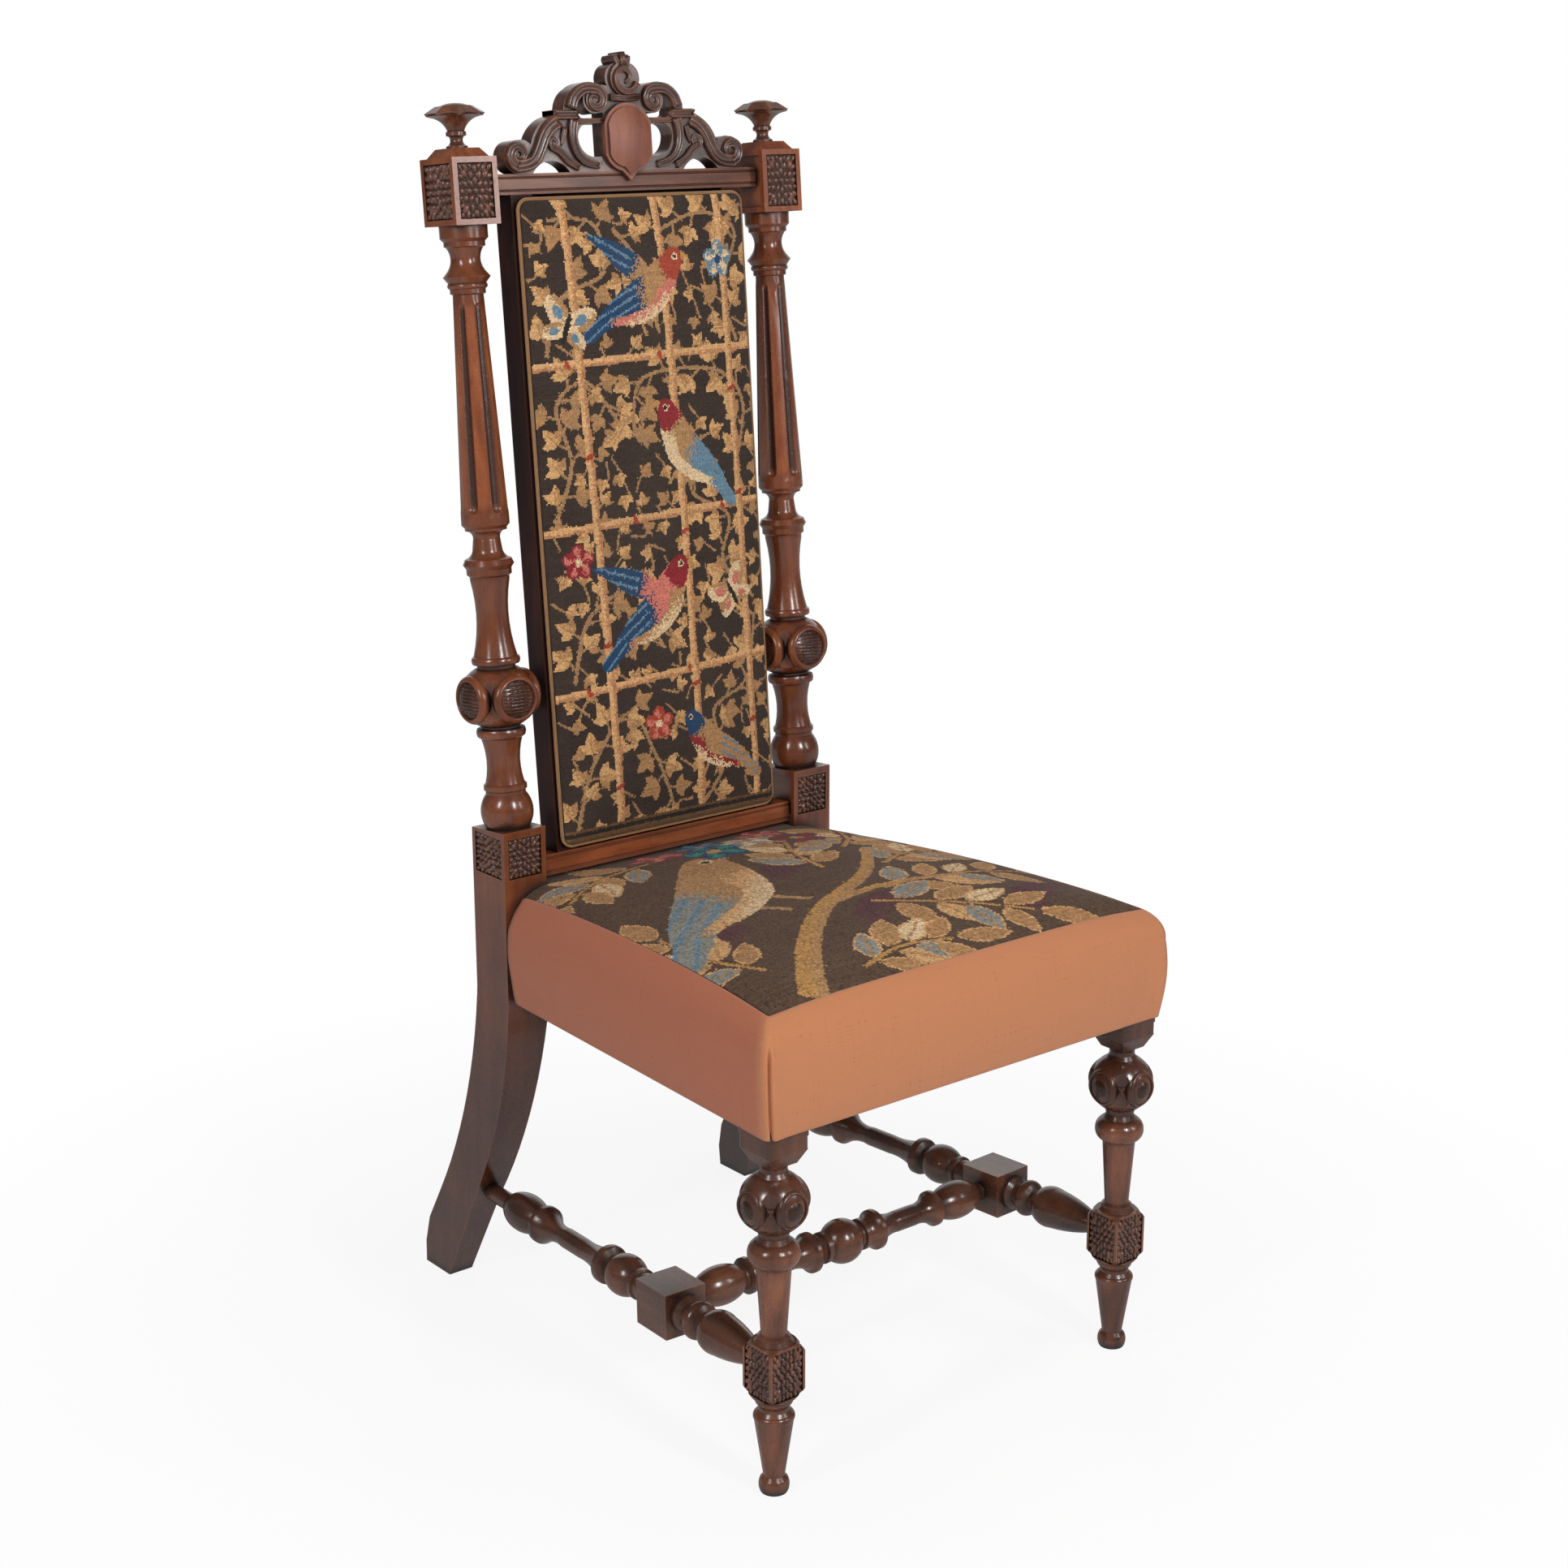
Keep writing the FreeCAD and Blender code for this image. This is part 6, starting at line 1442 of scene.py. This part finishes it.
def braid_tree():
    """Slanting knots of yarn laid along a path."""
    tree, start, end = geometry_group(
        "braid", (("Spacing", "Float"), ("Slant", "Float"), ("Size", "Vector")))
    path = add(tree, "GeometryNodeMeshToCurve", {0: start.outputs["Geometry"]})
    points = add(tree, "GeometryNodeCurveToPoints",
                 {"Curve": path.outputs[0], "Length": start.outputs["Spacing"]}, mode="LENGTH")
    knot = add(tree, "GeometryNodeMeshUVSphere", {"Segments": 8, "Rings": 5, "Radius": 0.5})
    about = add(tree, "ShaderNodeCombineXYZ", {"X": start.outputs["Slant"]})
    turned = add(tree, "FunctionNodeRotateRotation", {0: points.outputs["Rotation"], 1: about.outputs[0]},
                 rotation_space="LOCAL")
    laid = add(tree, "GeometryNodeInstanceOnPoints",
               {"Points": points.outputs[0], "Instance": knot.outputs[0], "Rotation": turned.outputs[0],
                "Scale": start.outputs["Size"]})
    return finish_tree(tree, laid.outputs[0], start, end)


def panel_path(grow, v):
    """A closed line round the back panel, let out by grow."""
    corner = PANEL_CORNER + grow
    half_x, low, high = PANEL_HALF + grow, PANEL_LOW_S - grow, PANEL_HIGH_S + grow
    points = []
    for x, s, turn in ((half_x - corner, high - corner, 0), (corner - half_x, high - corner, 90),
                       (corner - half_x, low + corner, 180), (half_x - corner, low + corner, 270)):
        for angle in np.radians(np.linspace(turn, turn + 90, 9)):
            points.append((x + corner * math.cos(angle), v, s + corner * math.sin(angle)))
    return points


BRAID_ROWS = ((0.9 * MM, 0.7), (2.3 * MM, -0.7))
BRAID_V = BACK_FACE_V - 3.4 * MM
KNOT_SPACING = 1.5 * MM
KNOT_SIZE = (3.6 * MM, 1.8 * MM, 2.4 * MM)


def back_braid():
    """Braid round the back panel: two fine rows of yarn slanting against each other."""
    tree = braid_tree()
    rows = []
    for grow, slant in BRAID_ROWS:
        line = panel_path(grow, BRAID_V)
        mesh = bpy.data.meshes.new("braid_row")
        mesh.from_pydata(line, [(i, (i + 1) % len(line)) for i in range(len(line))], [])
        row = bpy.data.objects.new("braid_row", mesh)
        scene.collection.objects.link(row)
        rows.append(baked(row, tree, {"Spacing": KNOT_SPACING, "Slant": slant, "Size": KNOT_SIZE,
                                      "Material": braid_yarn}))
    made = joined(rows, "back_braid")
    made.data.polygons.foreach_set("use_smooth", [True] * len(made.data.polygons))
    place_all(made, raked)
    finish_piece(made, braid_yarn, ("back_gimp",))


for side, word in ((1, "right"), (-1, "left")):
    block_carving(side, word)
    ball_carving(side, word)
crest_carving()
back_braid()


# Finishes of the pieces that come from the part

def jute(name, dark, light):
    """Coarse jute of the webs and hessian inside, on object coordinates."""
    material, tree, shader, place = shader_tree(name)
    age = use(tree, AGE, {"Vector": place.outputs["Object"], "Scale": 40.0})
    wire(tree, shader, {"Base Color": mix(tree, age.outputs["Rubbed"], dark, light), "Roughness": 0.95})
    return material


web_jute = jute("web_jute", srgb(150, 124, 88), srgb(188, 162, 122))
hessian_jute = jute("hessian_jute", srgb(140, 108, 70), srgb(176, 144, 100))
FINISHES = (
    (walnut_upright, ("right_back_post", "left_back_post")),
    (carved_walnut, ("right_finial", "left_finial")),
    (brown_upright, ("right_front_leg", "left_front_leg")),
    (brown_across, ("back_top_rail",)),
    (stretcher_across, ("cross_stretcher",)),
    (stretcher_lengthwise, ("right_side_stretcher", "left_side_stretcher")),
    (shaded_stile_walnut, ("right_back_stile", "left_back_stile")),
    (dark_across, ("cresting",)),
    (walnut_across, ("back_bottom_rail",)),
    (walnut_shield, ("crest_shield",)),
    (beech, ("front_seat_rail", "back_seat_rail", "right_seat_rail", "left_seat_rail", "corner_blocks",
             "crest_dowels")),
    (steel, ("corner_block_screws", "seat_springs", "seat_tacks")),
    (brass, ("back_tacks",)),
    (web_jute, ("back_webbing", "seat_webbing")),
    (hessian_jute, ("back_hessian", "spring_hessian")))
for material, names in FINISHES:
    for name in names:
        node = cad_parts[name]
        node.data.materials.clear()
        node.data.materials.append(material)


# Camera, lights and floor

FOCAL_LENGTH = 59.14
CAMERA_PLACE = (-1.4221, -1.7686, 1.1534)
CAMERA_TURN = (math.radians(74.52), 0, math.radians(-39.26))


def camera():
    """The photo's view."""
    lens = bpy.data.cameras.new("camera")
    lens.sensor_width = 36
    lens.lens = FOCAL_LENGTH
    made = bpy.data.objects.new("camera", lens)
    made.location = CAMERA_PLACE
    made.rotation_euler = CAMERA_TURN
    scene.collection.objects.link(made)
    scene.camera = made


def softbox(name, place, aim, size, power, mirrored=True):
    """A soft lamp; one that is not mirrored leaves no streak on the polish."""
    lamp = bpy.data.lights.new(name, "AREA")
    lamp.shape = "RECTANGLE"
    lamp.size, lamp.size_y = size
    lamp.energy = power
    made = bpy.data.objects.new(name, lamp)
    made.location = place
    made.rotation_euler = (Vector(aim) - Vector(place)).to_track_quat("-Z", "Y").to_euler()
    made.visible_glossy = mirrored
    scene.collection.objects.link(made)


WHITE = (1, 1, 1, 1)
WALL_WAY = (0.63, 0.77, 0.05)
FLOOR_HALF = 9.0


def white(tree, kind, strength):
    """Plain white light of a given strength."""
    return add(tree, kind, {"Color": WHITE, "Strength": strength}).outputs[0]


def either(tree, share, first, second):
    return add(tree, "ShaderNodeMixShader", {0: share, 1: first, 2: second}).outputs[0]


def kinds_of_ray(tree):
    """Rays that come straight to the camera, and those that come from a reflection."""
    rays = tree.nodes.new("ShaderNodeLightPath").outputs
    straight = math_node(tree, "MAXIMUM", rays["Is Camera Ray"], rays["Is Transmission Ray"])
    return straight, rays["Is Glossy Ray"]


def surround():
    """Even soft light; the camera sees plain white, and so do reflections of the wall behind the chair."""
    world = bpy.data.worlds.new("surround")
    world.use_nodes = True
    tree = world.node_tree
    tree.nodes.clear()
    place = tree.nodes.new("ShaderNodeTexCoord")
    behind = add(tree, "ShaderNodeVectorMath", {0: place.outputs["Generated"], 1: WALL_WAY},
                 operation="DOT_PRODUCT")
    wall = mapped(tree, behind.outputs["Value"], 0.7, 0.95, 0.12, 1.0)
    seen, lit, mirrored = (white(tree, "ShaderNodeBackground", strength) for strength in (1.0, 0.12, wall))
    straight, glossy = kinds_of_ray(tree)
    shown = either(tree, straight, either(tree, glossy, lit, mirrored), seen)
    add(tree, "ShaderNodeOutputWorld", {"Surface": shown})
    scene.world = world


def floor():
    """Pale floor that keeps the chair's shadow and runs out to white."""
    corners = [(x * FLOOR_HALF, y * FLOOR_HALF, 0) for x, y in ((-1, -1), (1, -1), (1, 1), (-1, 1))]
    made = mesh_object("floor", corners, [(0, 1, 2, 3)], smooth=False)
    material, tree, shader, place = shader_tree("floor")
    wire(tree, shader, {"Base Color": (0.97, 0.967, 0.963, 1), "Roughness": 0.85})
    away = add(tree, "ShaderNodeVectorMath", {0: place.outputs["Object"]}, operation="LENGTH")
    far = mapped(tree, away.outputs["Value"], 0.4, 1.0, 0.88, 1.0)
    bright, pale = (white(tree, "ShaderNodeEmission", strength) for strength in (1.0, 0.4))
    straight, glossy = kinds_of_ray(tree)
    shown = either(tree, math_node(tree, "MULTIPLY", far, straight), shader.outputs[0], bright)
    out = next(n for n in tree.nodes if n.type == "OUTPUT_MATERIAL")
    wire(tree, out, {"Surface": either(tree, glossy, shown, pale)})
    made.data.materials.append(material)


camera()
softbox("right", (-0.03, -2.4, 1.9), (0, 0, 0.6), (0.28, 0.9), 26)
softbox("left", (-2.34, -0.55, 1.9), (0, 0, 0.6), (0.28, 0.9), 17)
softbox("front", (-1.52, -1.9, 1.75), (0, 0, 0.6), (0.7, 0.7), 18, False)
softbox("side", (1.3, -1.95, 1.5), (0, 0.2, 1.05), (0.35, 0.9), 7)
softbox("above", (0.1, 0.1, 2.9), (0, 0, 0), (1.6, 1.6), 7, False)
softbox("rear", (1.5, 1.87, 1.8), (0, 0, 0.6), (0.9, 1.2), 12, False)
surround()
floor()
scene.view_settings.view_transform = "Standard"
